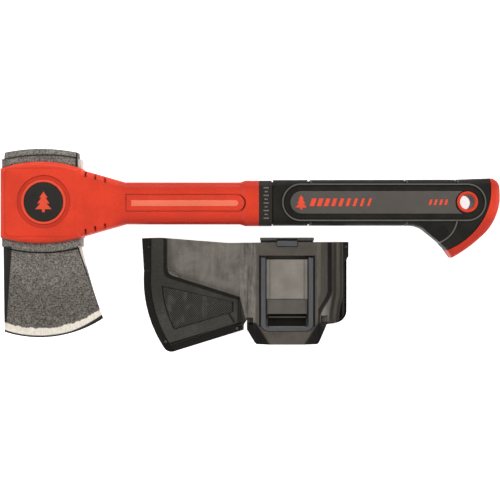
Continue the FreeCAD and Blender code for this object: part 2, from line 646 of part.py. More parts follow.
def make_head():
    """The forged head: blade with its cones and ground bevel, eye block, poll."""
    body = new_body("axe_head", HATCHET)
    toe, heel, tip = dims.blade_toe_x, dims.heel_neck_x, dims.heel_tip_x
    toe_y, tip_y = circle_y(toe, dims.edge_radius), circle_y(tip, dims.edge_radius)
    edge_sag = sagitta(toe, toe_y, tip, tip_y, dims.edge_radius)
    blade = sketch_on(body, "blade_outline", "XY_Plane", [[
        (toe, dims.edge_centre_y), (toe, toe_y, -edge_sag), (tip, tip_y, dims.heel_sag),
        (heel, dims.eye_bottom_y), (heel, dims.edge_centre_y),
    ]])
    pad(body, "blade_pad", blade, dims.cheek_half * 2, symmetric=True)

    outside, top = dims.edge_radius + 8, dims.cheek_half + 3
    cone = [
        (zero, dims.cheek_half), (dims.edge_radius - dims.bevel_width, dims.bevel_half),
        (dims.edge_radius, dims.edge_half), (outside, dims.edge_half), (outside, top), (zero, top),
    ]
    at_centre = (dims.edge_centre_x, zero, -dims.edge_centre_y)
    upper = sketch_on(body, "cheek_upper", "XZ_Plane", [cone], offset=at_centre)
    turned(body, "Groove", "cheek_cone_upper", upper)
    lower = sketch_on(body, "cheek_lower", "XZ_Plane", [[(x, -z) for x, z in cone]], offset=at_centre)
    turned(body, "Groove", "cheek_cone_lower", lower)
    head_facet(body, "upper", True)
    head_facet(body, "lower", False)

    eye = sketch_on(body, "eye_outline", "XY_Plane", [[
        (dims.eye_toe_x, dims.eye_top_y), (dims.eye_toe_x, dims.eye_bottom_y, -dims.eye_bottom_sag),
        (dims.eye_heel_x, dims.eye_bottom_y), (dims.eye_heel_x, dims.eye_top_y),
    ]])
    pad(body, "eye_pad", eye, dims.eye_thickness, symmetric=True)
    poll = sketch_on(body, "poll_outline", "XY_Plane", [[
        (dims.poll_toe_x, zero), (dims.poll_heel_x, zero),
        (dims.poll_heel_x, dims.poll_corner_y, -dims.poll_crown), (dims.poll_toe_x, dims.poll_corner_y),
    ]])
    pad(body, "poll_pad", poll, dims.poll_thickness, symmetric=True)

    slot = sketch_on(body, "eye_slot_section", "YZ_Plane",
                     [rounded_section(dims.core_eye_half, dims.core_thickness / 2, dims.core_round)])
    solid = cut_through(body, "eye_slot", slot)
    rim_z = dims.poll_thickness.value / 2 - 0.01
    rim_y = dims.poll_corner_y.value
    solid = dress(body, "Chamfer", "poll_bevel", solid,
                  lambda edge, mid: abs(mid.z) > rim_z and mid.y > rim_y + 0.5,
                  dims.poll_bevel, dims.poll_bevel_depth)
    corner_z = dims.eye_thickness.value / 2 - 0.01
    dress(body, "Fillet", "eye_round", solid,
          lambda edge, mid: abs(mid.z) > corner_z and mid.y < dims.eye_bottom_y.value - 0.5,
          Size.of(1))
    return body


def loft(body, name, sections):
    """A straight-sided loft through rounded rectangles, each given as (x, half width, half thickness)."""
    rings = []
    for number, (x, half_y, half_z) in enumerate(sections):
        ring = sketch_on(body, f"{name}_section_{number}", "YZ_Plane",
                         [rounded_section(half_y, half_z, dims.grip_round)], offset=(zero, zero, x))
        rings.append(ring)
    made = body.newObject("PartDesign::AdditiveLoft", f"{name}_loft")
    made.Profile = rings[0]
    made.Sections = rings[1:]
    made.Ruled = True
    doc.recompute()
    return made


def taper_half(x):
    """Half width of the taper at x."""
    slope = (dims.taper_start_y - dims.taper_end_y) / (dims.taper_end_x - dims.collar_length)
    return dims.taper_start_y - (x - dims.collar_length) * slope


def make_cover(head, core, seats):
    """The orange moulding: the collar over the eye, the taper and the shaft."""
    collar = new_body("collar_blank", HATCHET)
    length, edge_y = dims.collar_length, dims.collar_edge_y
    outline = sketch_on(collar, "collar_outline", "XY_Plane", [[
        (zero, edge_y), (zero, -edge_y, -dims.collar_bottom_sag), (length, -edge_y),
        (length, edge_y, -dims.collar_top_sag),
    ]])
    block = pad(collar, "collar_pad", outline, dims.collar_thickness, symmetric=True)
    face = dims.collar_thickness.value / 2 - 0.01
    dress(collar, "Fillet", "collar_rims", block, lambda edge, mid: abs(mid.z) > face, dims.collar_round)

    shaft = new_body("shaft_blank", HATCHET)
    start = length - 3
    thick, flared = dims.shaft_thickness / 2, dims.flare_thickness / 2
    neck = dims.shaft_start_x
    shrink = (dims.collar_thickness / 2 - 0.2 - thick) / (neck - start)
    sections = [
        (start, taper_half(start), thick + shrink * (neck - start)),
        (dims.taper_end_x, dims.taper_end_y, thick + shrink * (neck - dims.taper_end_x)),
        (neck, dims.shaft_half, thick), (dims.shaft_end_x, dims.shaft_half, thick),
        (dims.flare_x, dims.flare_half, flared), (dims.cover_end_x, dims.flare_half, flared),
    ]
    loft(shaft, "shaft", sections)

    whole = boolean("Fuse", "cover_blank", collar, shaft)
    return boolean("Cut", "shaft_overmold", whole, head, core, *cover_tools(), *seats)


def cover_tools():
    """What is cut from the orange moulding: the dished rings, the inlays' grooves and the taper's notches."""
    ring = new_body("dish_tool", HATCHET)
    face = dims.collar_thickness / 2
    badge = (dims.badge_x, dims.badge_y)
    above = sketch_on(ring, "dish_upper", "XY_Plane",
                      circles=[(*badge, dims.badge_dish_radius), (*badge, dims.badge_rim_radius)],
                      offset=(zero, zero, face - dims.badge_dish_depth))
    upper = pad(ring, "dish_upper_pad", above, Size.of(3))
    mirror(ring, "dish_mirror", [upper])

    groove = new_body("inlay_groove_tool", HATCHET)
    first, last = dims.inlay_groove_start_x, dims.inlay_groove_end_x
    half, width = dims.inlay_groove_half, dims.inlay_groove_width
    loops = [bullet(first, last, half), bullet(first + width, last - width, half - width)]
    track = sketch_on(groove, "inlay_groove", "XY_Plane", loops,
                      offset=(zero, zero, dims.shaft_thickness / 2 - dims.inlay_groove_depth))
    upper = pad(groove, "inlay_groove_pad", track, Size.of(3))
    mirror(groove, "inlay_groove_mirror", [upper])

    ribs = new_body("rib_tool", HATCHET)
    loops = []
    for number in range(3):
        x0 = dims.rib_first_x + dims.rib_pitch * number
        x1 = x0 + dims.rib_width
        inner, outer = taper_half(x0) - dims.rib_length, taper_half(x0) + 3
        loops += [rectangle(x0, x1, inner, outer), rectangle(x0, x1, -outer, -inner)]
    marks = sketch_on(ribs, "ribs", "XY_Plane", loops,
                      offset=(zero, zero, dims.collar_thickness / 2 - dims.rib_depth))
    upper = pad(ribs, "ribs_pad", marks, Size.of(8))
    mirror(ribs, "ribs_mirror", [upper])
    return ring, groove, ribs


def bullet(start_x, end_x, half):
    """A bar about the handle's axis with a round end towards the grip."""
    sag = -half * QUARTER
    return [
        (start_x, half), (start_x, -half), (end_x - half, -half, sag), (end_x, zero, sag),
        (end_x - half, half),
    ]


def make_badge(name, low, high):
    """A round badge that fills its seat in the collar's face."""
    body = new_body(name, HATCHET)
    disc = sketch_on(body, f"{name}_disc", "XY_Plane",
                     circles=[(dims.badge_x, dims.badge_y, dims.badge_radius)], offset=(zero, zero, low))
    solid = pad(body, f"{name}_pad", disc, high - low)
    rim = high if high.value > 0 else low
    dress(body, "Chamfer", f"{name}_rim", solid, lambda edge, mid: abs(mid.z - rim.value) < 0.01,
          dims.badge_bevel)
    return body


def make_seat(name, corners_or_circle, low, height):
    """A tool that sinks a pocket from a face, for a badge or an inlay."""
    body = new_body(name, HATCHET)
    is_circle = isinstance(corners_or_circle, tuple)
    loops, circles = ([], [corners_or_circle]) if is_circle else ([corners_or_circle], [])
    shape = sketch_on(body, f"{name}_shape", "XY_Plane", loops, circles, offset=(zero, zero, low))
    pad(body, f"{name}_pad", shape, height)
    return body


def make_plate(name, corners, low, high):
    """A flat inlay between two heights."""
    body = new_body(name, HATCHET)
    shape = sketch_on(body, f"{name}_shape", "XY_Plane", [corners], offset=(zero, zero, low))
    pad(body, f"{name}_pad", shape, high - low)
    return body


def make_band(core):
    """The plain black band between the orange shaft and the grip, with the narrow neck behind it."""
    body = new_body("band_blank", HATCHET)
    half, thick, radius = dims.flare_half, dims.flare_thickness / 2, dims.grip_round
    outer = sketch_on(body, "band_section", "YZ_Plane", [rounded_section(half, thick, radius)],
                      offset=(zero, zero, dims.cover_end_x))
    pad(body, "band_pad", outer, dims.band_end_x - dims.cover_end_x)
    sink = dims.neck_depth
    section = rounded_section(half - sink, thick - sink, radius - sink)
    inner = sketch_on(body, "neck_section", "YZ_Plane", [section], offset=(zero, zero, dims.band_end_x))
    pad(body, "neck_pad", inner, dims.neck_end_x - dims.band_end_x)
    return boolean("Cut", "grip_band", body, core)


def panel_outline(gap):
    """The grip inlay: round towards the head, cut by a circle about the lanyard hole towards the butt."""
    half = dims.panel_half
    reach = dims.eyelet_flange + 1.1 + gap
    end = dims.eyelet_x - (reach * reach - half * half).root()
    start, y, sag = dims.panel_start_x, dims.track_y, -half * QUARTER
    return [
        (start, y + half, sag), (start - half, y, sag), (start, y - half),
        (end, y - half, sagitta(end, y - half, end, y + half, reach)), (end, y + half),
    ]


def handle_butt(name, thickness):
    """Grip and butt cap as one rounded block; the seam parts them later."""
    body = new_body(name, HATCHET)
    outline = sketch_on(body, f"{name}_outline", "XY_Plane", [[
        (dims.neck_end_x, dims.grip_top_y), (dims.notch_third_x, dims.grip_top_y + 0.3),
        (dims.butt_top_x, dims.butt_top_y, dims.butt_nose_sag),
        (dims.overall_length, dims.butt_nose_y, dims.butt_back_sag),
        (dims.butt_low_x, dims.butt_low_y, dims.butt_hook_sag), (dims.hook_tip_x, dims.hook_tip_y),
        (dims.hook_front_x, dims.hook_front_y, dims.hook_heel_sag), (dims.hook_heel_x, dims.hook_heel_y),
        (dims.hook_bend_x, dims.hook_bend_y, -dims.hook_bend_sag),
        (dims.hook_start_x, dims.grip_low_y), (dims.neck_end_x, dims.grip_low_y),
    ]])
    block = pad(body, f"{name}_pad", outline, thickness, symmetric=True)
    face = thickness.value / 2 - 0.01
    front = dims.neck_end_x.value
    for side, sign in (("lower", -1), ("upper", 1)):
        block = dress(body, "Fillet", f"{name}_rim_{side}", block,
                      lambda edge, mid: mid.z * sign > face and mid.x > front + 0.1, dims.butt_round)
    return body


def make_seam(name):
    """Everything on the butt side of the seam between grip and cap."""
    away = TALL + dims.overall_length
    return prism(name, HATCHET, "XY_Plane", [
        (dims.butt_top_x, TALL), (dims.butt_top_x, dims.butt_top_y, dims.seam_top_sag),
        (dims.seam_mid_x, dims.seam_mid_y, dims.seam_low_sag), (dims.hook_seam_x, dims.hook_seam_y),
        (dims.hook_seam_x - 8, dims.hook_seam_y - 8), (away, dims.hook_seam_y - 8), (away, TALL),
    ], TALL)


def make_grip(core, eyelet_seat, seats):
    """The rubber grip with its racetrack bead, its notches and the finger scoop over the hook."""
    body = handle_butt("grip_blank", dims.flare_thickness)
    bead = sketch_on(body, "bead_outline", "XY_Plane", [
        stadium(dims.track_start_x, dims.eyelet_x, dims.track_y, dims.track_radius + dims.bead_width),
        stadium(dims.track_start_x, dims.eyelet_x, dims.track_y, dims.track_radius),
    ], offset=(zero, zero, dims.flare_thickness / 2 - 2))
    raised = pad(body, "bead", bead, dims.bead_height + 2)
    mirror(body, "bead_mirror", [raised])
    field = sketch_on(body, "field_outline", "XY_Plane",
                      [stadium(dims.track_start_x, dims.eyelet_x, dims.track_y, dims.track_radius)],
                      offset=(zero, zero, dims.flare_thickness / 2 + 1))
    sunk = cut_down(body, "field", field, dims.track_sink + 1)
    mirror(body, "field_mirror", [sunk])

    tools = [core, eyelet_seat, *seats, *notch_tools(), *scoop_tools(), make_seam("grip_seam")]
    return boolean("Cut", "grip_overmold", body, *tools)


def notch_tools():
    """The grooves that run over the grip's long rims."""
    bars = new_body("notch_bars", HATCHET)
    width = dims.notch_width / 2
    inner, outer = dims.track_radius + dims.bead_width + 0.4, dims.grip_top_y + 4
    loops = []
    for x, sides in ((dims.notch_first_x, 2), (dims.notch_second_x, 2), (dims.notch_third_x, 1)):
        loops.append(rectangle(x - width, x + width, inner, outer))
        if sides == 2:
            loops.append(rectangle(x - width, x + width, -outer, -inner))
    bar = sketch_on(bars, "notch_outline", "XY_Plane", loops)
    pad(bars, "notch_pad", bar, TALL, symmetric=True)
    keep = new_body("notch_floor", HATCHET)
    depth, middle = dims.notch_depth, (dims.grip_top_y + dims.grip_low_y) / 2
    half = (dims.grip_top_y - dims.grip_low_y) / 2 - depth
    floor = sketch_on(keep, "notch_floor_section", "YZ_Plane",
                      [rounded_section(half, dims.flare_thickness / 2 - depth, dims.butt_round - depth)],
                      offset=(middle, zero, dims.neck_end_x))
    pad(keep, "notch_floor_pad", floor, dims.hook_seam_x)
    return [boolean("Cut", "notch_tool", bars, keep)]


def scoop_tools():
    """Two balls that dish both faces of the grip over the hook."""
    rise = (dims.scoop_half * dims.scoop_half + dims.scoop_depth * dims.scoop_depth) / (dims.scoop_depth * 2)
    tools = []
    for name, sign in (("scoop_upper", 1), ("scoop_lower", -1)):
        ball = doc.addObject("Part::Sphere", name)
        ball.setExpression("Radius", rise.text)
        x, y, z, _ = HATCHET
        height = (dims.flare_thickness / 2 - dims.scoop_depth + rise) * sign
        place(ball, (x + dims.scoop_x, y + dims.scoop_y, z + height, 0))
        tools.append(ball)
    return tools


def make_cap():
    """The orange butt cap round the hook and the butt."""
    body = handle_butt("cap_blank", dims.collar_thickness)
    return boolean("Common", "pommel_cap", body, make_seam("cap_seam"))


def make_eyelet():
    """The flanged tube through the butt that takes a lanyard."""
    body = new_body("lanyard_eyelet", HATCHET)
    bore, tube, flange = dims.eyelet_bore, dims.eyelet_tube, dims.eyelet_flange
    top, under, lead = dims.eyelet_half, dims.eyelet_half - dims.eyelet_flange_depth, dims.eyelet_lead
    half = [(tube, under), (flange, under), (flange, top - 0.3), (flange - 0.3, top), (bore + lead, top),
            (bore, top - lead)]
    profile = sketch_on(body, "eyelet_profile", "XZ_Plane", [half + [(x, -z) for x, z in reversed(half)]],
                        offset=(dims.eyelet_x, zero, -dims.eyelet_y))
    turned(body, "Revolution", "eyelet_turned", profile)
    seat = new_body("eyelet_seat", HATCHET)
    bound = [(tube, under), (flange, under), (flange, top + 4), (zero, top + 4)]
    loop = bound + [(x, -z) for x, z in reversed(bound)]
    shape = sketch_on(seat, "eyelet_seat_profile", "XZ_Plane", [loop],
                      offset=(dims.eyelet_x, zero, -dims.eyelet_y))
    turned(seat, "Revolution", "eyelet_seat_turned", shape)
    return body, seat


# ---- sheath -------------------------------------------------------------------------------------


def sheath_outline():
    """The sheath's outline as it is worn, clockwise from the mouth of the poll pocket."""
    rim, start = dims.rim_radius, dims.rim_start_x
    heel_y, start_y = circle_y(dims.heel_edge_x, rim), circle_y(start, rim)
    root, end, corner = dims.lobe_root_y, dims.lobe_end_y, dims.lobe_corner
    side, low, bend = dims.poll_side_y, dims.poll_low_x, dims.poll_corner
    return [
        (dims.mouth_poll_x, dims.boss_y), (dims.boss_end_x, dims.boss_y), (dims.boss_end_x + 1, side),
        (low - bend, side, bend * QUARTER), (low, side - bend),
        (dims.lobe_right_x, root), (dims.lobe_end_x - corner, end), (dims.lobe_end_x, end - corner),
        (dims.lobe_end_x, corner - end), (dims.lobe_end_x - corner, -end), (dims.lobe_left_x, -root),
        (dims.heel_low_x, dims.heel_low_y, dims.heel_corner_sag),
        (dims.heel_edge_x, heel_y, sagitta(dims.heel_edge_x, heel_y, start, start_y, rim)),
        (start, start_y), (dims.rim_toe_x, dims.rim_toe_y), (dims.mouth_bit_x, dims.mouth_bit_y),
        (dims.mouth_mid_x, dims.mouth_mid_y),
    ]


def blade_slope(rise):
    """The outside over the blade, from the rim's slope to the foot of the belt panel, as (y, z) points."""
    return [
        (dims.rim_slope_y, dims.tip_height + rise), (dims.bit_y, dims.bit_height + rise),
        (dims.cheek_y, dims.cheek_height + rise), (dims.shoulder_y, dims.shoulder_height + rise),
    ]


def make_blank(raised):
    """The whole sheath without its hollows. With raised, the frame over the blade is left standing proud."""
    name = "blank_raised" if raised else "blank"
    plan = prism(f"{name}_plan", SHEATH, "XY_Plane", sheath_outline(), TALL * 2)
    round_start = dims.poll_side_y - dims.poll_round
    flat = dims.poll_height
    upper = [
        (dims.rim_toe_y - 2, zero), (dims.rim_toe_y - 2, dims.rim_height),
        *blade_slope(dims.frame_rise if raised else zero),
        (-dims.panel_edge_y, dims.panel_height), (dims.panel_edge_y, dims.panel_height),
        (dims.poll_shoulder_y, flat), (round_start, flat),
        (dims.poll_side_y + 1.5, flat - dims.poll_round - 1.5),
    ]
    lower = [
        (dims.poll_side_y + 1.5, dims.poll_round + 1.5 - flat), (round_start, -flat),
        (dims.cover_flat_y, -flat), (dims.bit_y, -dims.bit_height), (dims.rim_slope_y, -dims.tip_height),
        (dims.rim_toe_y - 2, -dims.rim_height),
    ]
    side = prism(f"{name}_side", SHEATH, "YZ_Plane", upper + lower, TALL * 6)
    return boolean("Common", name, plan, side)


def make_cavity():
    """The hollows the head slides into: the pockets for blade, eye and poll, and the collar's channel."""
    poll_y, poll_x, corner = dims.cavity_poll_y, dims.cavity_poll_x, dims.cavity_poll_corner
    inside = dims.edge_radius + dims.fit_gap
    away = Size(-24, "(0 - 24)")
    tip_y, away_y = circle_y(dims.cavity_tip_x, inside), circle_y(away, inside)
    plan = prism("pocket_plan", SHEATH, "XY_Plane", [
        (away, poll_y), (poll_x - corner, poll_y, corner * QUARTER), (poll_x, poll_y - corner),
        (poll_x, dims.cavity_eye_y), (dims.cavity_heel_x, dims.cavity_eye_y),
        (dims.cavity_heel_x, -dims.cavity_collar_y),
        (dims.cavity_tip_x, tip_y, sagitta(dims.cavity_tip_x, tip_y, away, away_y, inside)), (away, away_y),
    ], TALL * 2)
    step = dims.cavity_cheek_y
    upper = [
        (dims.cavity_tip_y, dims.cavity_tip), (dims.cavity_bit_y, dims.cavity_bit), (step, dims.cavity_cheek),
        (step, dims.cavity_eye), (dims.cavity_eye_y, dims.cavity_eye), (dims.cavity_eye_y, dims.cavity_poll),
        (poll_y + 1, dims.cavity_poll),
    ]
    side = prism("pocket_side", SHEATH, "YZ_Plane", upper + [(y, -z) for y, z in reversed(upper)], TALL * 6)
    pocket = boolean("Common", "pocket", plan, side)
    half, top, bend = dims.cavity_collar_y, dims.cavity_collar, dims.cavity_round
    channel = prism("channel", SHEATH, "YZ_Plane", [
        (half, -top - 4), (half, top - bend), (half - bend, top), (bend - half, top), (-half, top - bend),
        (-half, -top - 4),
    ], TALL * 6)
    return boolean("Fuse", "cavity", pocket, channel)


def frame_outline():
    """The raised frame over the blade: along the rim, round the corner, down the slanted bar to the lobe."""
    rim, inner, far = dims.frame_rim_y, dims.frame_inner_y, dims.frame_rim_radius
    start = dims.rim_start_x
    start_y = circle_y(start, far)
    end_x = dims.heel_low_x - dims.heel_chamfer
    turn_x, turn_y = end_x - 1, circle_y(end_x - 1, far)
    return [
        (dims.mouth_bit_x - 3, inner), (dims.frame_corner_x, inner, dims.frame_bend_sag),
        (dims.frame_bend_x, dims.frame_bend_y), (dims.frame_diag_x, dims.frame_diag_y),
        (dims.frame_foot_x, dims.frame_diag_y), (dims.lobe_left_x - dims.heel_chamfer, dims.frame_diag_y),
        (end_x, dims.heel_low_y, dims.heel_corner_sag),
        (turn_x, turn_y, sagitta(turn_x, turn_y, start, start_y, far)),
        (start, start_y), (dims.mouth_bit_x - 3, rim),
    ]


def pad_outline():
    """The textured pad inside the frame: two straight sides and one that follows the edge."""
    radius = dims.pad_arc_radius
    near_y, far_y = circle_y(dims.pad_near_x, radius), circle_y(dims.pad_far_x, radius)
    return [
        (dims.pad_near_x, near_y), (dims.pad_tip_near_x, dims.pad_tip_y),
        (dims.pad_tip_far_x, dims.pad_tip_y),
        (dims.pad_far_x, far_y, sagitta(dims.pad_far_x, far_y, dims.pad_near_x, near_y, radius)),
    ]


def ribbon(name, low, high):
    """A layer that follows the slope over the blade, between two heights above it."""
    return prism(name, SHEATH, "YZ_Plane", blade_slope(low) + list(reversed(blade_slope(high))), TALL * 6)


def rivet_places():
    """Where the rivets go, and the outside's height there."""
    return {
        "rim": (dims.rivet_rim_x, dims.rivet_rim_y, dims.bit_height),
        "heel": (dims.rivet_heel_x, dims.rivet_heel_y, dims.cheek_height),
        "poll": (dims.rivet_poll_x, dims.rivet_poll_y, dims.poll_height),
        "boss": (dims.rivet_mouth_x, dims.rivet_boss_y, dims.poll_height - dims.poll_round + 0.8),
        "toe": (dims.rivet_mouth_x, dims.rivet_toe_y, dims.tip_height - 0.6),
    }


def make_rivets():
    """The rivets that hold the two shells together, and the holes they fill."""
    holes, pins = new_body("rivet_holes", SHEATH), []
    for name, (x, y, height) in rivet_places().items():
        pin = new_body(f"rivet_{name}", SHEATH)
        ring = sketch_on(pin, f"rivet_{name}_circle", "XY_Plane", circles=[(x, y, dims.rivet_radius)])
        pad(pin, f"rivet_{name}_pad", ring, (height - dims.rivet_sink) * 2, symmetric=True)
        pins.append(pin)
    circles = [(x, y, dims.rivet_radius) for x, y, _ in rivet_places().values()]
    bores = sketch_on(holes, "rivet_hole_circles", "XY_Plane", circles=circles)
    pad(holes, "rivet_holes_pad", bores, TALL * 2, symmetric=True)
    return boolean("Fuse", "sheath_rivets", *pins), holes


def make_well():
    """What is cut from the belt panel for the clip: the well with its window, and the thumb tab's notch."""
    half, top, low, corner = dims.window_half, dims.window_top_x, dims.window_low_x, dims.window_corner
    above = dims.tab_high + 4
    window = make_tool("window", [
        (top, half), (low - corner, half, corner * QUARTER), (low, half - corner),
        (low, corner - half, corner * QUARTER), (low - corner, -half), (top, -half),
    ], dims.well_floor, above)
    under = make_tool("under_bridge", rectangle(dims.rim_toe_x - 4, top + 1, -half, half),
                      dims.well_floor, dims.bridge_under)
    gap = dims.notch_gap
    notch = make_tool("tab_notch", rectangle(dims.rim_toe_x - 4, dims.tab_low_x + gap, -dims.tab_half - gap,
                                             dims.tab_half + gap), dims.well_floor, above)
    return window, under, notch


def make_tool(name, corners, low, high):
    """A straight-sided tool of the sheath between two heights."""
    body = new_body(name, SHEATH)
    shape = sketch_on(body, f"{name}_shape", "XY_Plane", [corners], offset=(zero, zero, low))
    pad(body, f"{name}_pad", shape, high - low)
    return body


def slope_tools():
    """What falls away round the back shell: the curved rim, the heel rim, the poll's ledge and the lobe."""
    return [
        rim_slope(), heel_slope(), poll_ledge(), *reliefs(), lobe_facet("left", -1), lobe_facet("right", 1),
    ]


def rim_slope():
    """The slope outside the frame, along the curved rim."""
    ring = new_body("rim_ring", SHEATH)
    start, end = dims.frame_rim_radius, dims.rim_radius
    high, low = dims.bit_height + 0.3, dims.bit_height - dims.rim_drop
    slope = (high - low) / (end - start)
    profile = sketch_on(ring, "rim_slope", "XZ_Plane", [[
        (start, high), (end + 2, low - slope * 2), (end + 12, low - slope * 2), (end + 12, TALL),
        (start, TALL),
    ]], offset=(dims.edge_centre_x, zero, -dims.edge_centre_y))
    turned(ring, "Revolution", "rim_slope_turned", profile)
    keep = make_tool("rim_slope_keep", rectangle(dims.rim_start_x, TALL * 3, TALL * -3, -TALL), zero, TALL)
    return boolean("Common", "rim_slope_tool", ring, keep)


def heel_slope():
    """The slope outside the frame, along the heel side of the blade pocket."""
    heel = new_body("heel_slope_tool", SHEATH)
    width, drop = dims.heel_chamfer, dims.heel_chamfer_drop
    rise = (dims.cheek_height - dims.bit_height) / (dims.cheek_y - dims.bit_y)
    run = (dims.lobe_left_x - dims.heel_low_x) / (dims.frame_diag_y - dims.heel_low_y)
    sections = []
    for name, y in (("tip", dims.bit_y), ("root", -dims.lobe_root_y)):
        x = dims.heel_low_x - width + (y - dims.heel_low_y) * run
        z = dims.bit_height + (y - dims.bit_y) * rise
        out = x + width * 2
        corners = [(x, z), (out, z - drop * 2), (out, z + 6), (x, z + 6)]
        section = sketch_on(heel, f"heel_slope_{name}", "XZ_Plane", [corners], offset=(zero, zero, -y))
        sections.append(section)
    cut = heel.newObject("PartDesign::AdditiveLoft", "heel_slope_loft")
    cut.Profile = sections[0]
    cut.Sections = sections[1:]
    cut.Ruled = True
    doc.recompute()
    return heel


def poll_ledge():
    """The low ledge along the outside of the poll pocket."""
    side, corner = dims.ledge_y, dims.poll_corner - (dims.poll_side_y - dims.ledge_y)
    start, end, beyond = dims.ledge_start_x, dims.poll_low_x - (dims.poll_side_y - side), dims.boss_y + 2
    return make_tool("ledge_tool", [
        (start, beyond), (start + 3, side), (end - corner, side, corner * QUARTER), (end, side - corner),
        (end + 6, side - corner), (end + 6, beyond),
    ], dims.ledge_height, TALL)


def reliefs():
    """The blind pockets at the roots of the lobe."""
    near, far, length = dims.relief_near_y, dims.relief_far_y, dims.relief_length
    left, right = dims.relief_left_x, dims.relief_right_x
    return [
        make_tool("relief_left", rectangle(left, left + length, -far, -near), dims.relief_floor, TALL),
        make_tool("relief_right", rectangle(right, right + length, near, far), dims.relief_floor, TALL),
    ]


def lobe_facet(name, side):
    """A sloping cut over one corner of the lobe, from the panel's edge to the end of the lobe's flat."""
    run = dims.lobe_end_x - dims.lobe_facet_x
    across = dims.panel_edge_y - dims.lobe_facet_end_y
    turn = math.degrees(math.atan2(across.value, run.value))
    x, y, z, spin = SHEATH
    body = new_body(f"lobe_facet_{name}", (x + dims.panel_edge_y * side, y - dims.lobe_facet_x,
                                           z + dims.panel_height, spin - turn * side))
    depth = Size.of(14)
    fall = depth * dims.lobe_facet_slope
    wedge = sketch_on(body, f"lobe_facet_{name}_section", "YZ_Plane", [[
        (zero, zero), (depth * side, -fall), (depth * side, Size.of(4)), (zero, Size.of(4)),
    ]])
    pad(body, f"lobe_facet_{name}_pad", wedge, TALL * 2, symmetric=True)
    return body


def make_shells(holes):
    """The back shell with its raised frame and belt panel, and the two covers on the other side."""
    blank, raised, cavity = make_blank(False), make_blank(True), make_cavity()
    frame_plan = prism("frame_plan", SHEATH, "XY_Plane", frame_outline(), TALL * 2)
    frame = boolean("Common", "frame", frame_plan, raised)
    everything = boolean("Fuse", "shell_blank", blank, frame)

    sink, thick, rise = dims.pad_sink, dims.pad_thickness, dims.frame_rise
    pad_plan = prism("texture_plan", SHEATH, "XY_Plane", pad_outline(), TALL * 2)
    layer = ribbon("texture_layer", rise - sink - thick, rise - sink)
    texture = boolean("Common", "sheath_texture_pad", pad_plan, layer)
    deep = ribbon("texture_seat_layer", rise - sink - thick, rise + 4)
    seat = boolean("Common", "texture_seat", pad_plan, deep)

    far = Size(-120, "(0 - 120)")
    upper = make_tool("upper_half", rectangle(far, -far, far, -far), zero, TALL)
    lower_blade = make_tool("lower_blade_half", rectangle(far, -far, far, -dims.cavity_collar_y), -TALL, zero)
    lower_poll = make_tool("lower_poll_half", rectangle(far, -far, dims.cavity_collar_y, -far), -TALL, zero)
    pin_hole = make_round_bar("hinge_pin_hole", dims.hinge_pin_radius, dims.window_half + dims.hinge_seat)
    back_half = boolean("Common", "back_blank", everything, upper)
    tools = [*make_well(), pin_hole, seat, holes, *slope_tools()]
    back = boolean("Cut", "sheath_back_shell", back_half, cavity, *tools)
    blade_half = boolean("Common", "blade_cover_blank", blank, lower_blade)
    blade = boolean("Cut", "sheath_blade_cover", blade_half, cavity, holes)
    poll_half = boolean("Common", "poll_cover_blank", blank, lower_poll)
    poll = boolean("Cut", "sheath_poll_cover", poll_half, cavity, holes)
    return [back, blade, poll, texture]


def make_round_bar(name, radius, half_length):
    """A bar along the hinge's axis."""
    body = new_body(name, SHEATH)
    ring = sketch_on(body, f"{name}_circle", "XZ_Plane", circles=[(dims.hinge_x, dims.hinge_z, radius)])
    pad(body, f"{name}_pad", ring, half_length * 2, symmetric=True)
    return body


def make_clip_base():
    """The insert in the well: plate, saddle with its thumb flat, catch rib and the flange at the mouth."""
    body = new_body("clip_base", SHEATH)
    half, floor = dims.window_half - dims.base_gap, dims.well_floor
    top, low, corner = dims.flange_x, dims.window_low_x - dims.base_gap, dims.window_corner
    plate = sketch_on(body, "base_plate", "XY_Plane", [[
        (top, half), (low - corner, half, corner * QUARTER), (low, half - corner),
        (low, corner - half, corner * QUARTER), (low - corner, -half), (top, -half),
    ]], offset=(zero, zero, floor))
    pad(body, "base_plate_pad", plate, dims.base_thickness)
    start, end, side = dims.saddle_start_x, dims.saddle_end_x, dims.saddle_half
    saddle = sketch_on(body, "saddle", "XY_Plane", [rectangle(start, end, -side, side)],
                       offset=(zero, zero, floor))
    solid = pad(body, "saddle_pad", saddle, dims.saddle_height - floor)
    face = dims.saddle_height.value
    dress(body, "Fillet", "saddle_edges", solid,
          lambda edge, mid: abs(mid.z - face) < 0.01 and abs(mid.y) > side.value - 0.1, dims.saddle_round)
    thumb = dims.thumb_half
    flat = sketch_on(body, "thumb_flat", "XY_Plane", [rectangle(dims.thumb_start_x, end + 1, -thumb, thumb)],
                     offset=(zero, zero, dims.saddle_height + 1))
    cut_down(body, "thumb_flat_cut", flat, dims.thumb_sink + 1)
    catch = dims.catch_x
    rib_shape = rectangle(catch, catch + dims.catch_width, -thumb, thumb)
    rib = sketch_on(body, "catch_rib", "XY_Plane", [rib_shape], offset=(zero, zero, floor))
    pad(body, "catch_rib_pad", rib, dims.catch_height - floor)
    wide, move = dims.flange_half, dims.tab_half + dims.notch_gap
    inside = dims.flange_x + dims.flange_thickness
    flange = sketch_on(body, "flange", "XY_Plane", [[
        (top, -wide), (inside, -wide), (inside, -move), (dims.flange_cut_x, -move), (dims.flange_cut_x, move),
        (inside, move), (inside, wide), (top, wide),
    ]], offset=(zero, zero, floor))
    pad(body, "flange_pad", flange, dims.flange_high - floor)
    return body


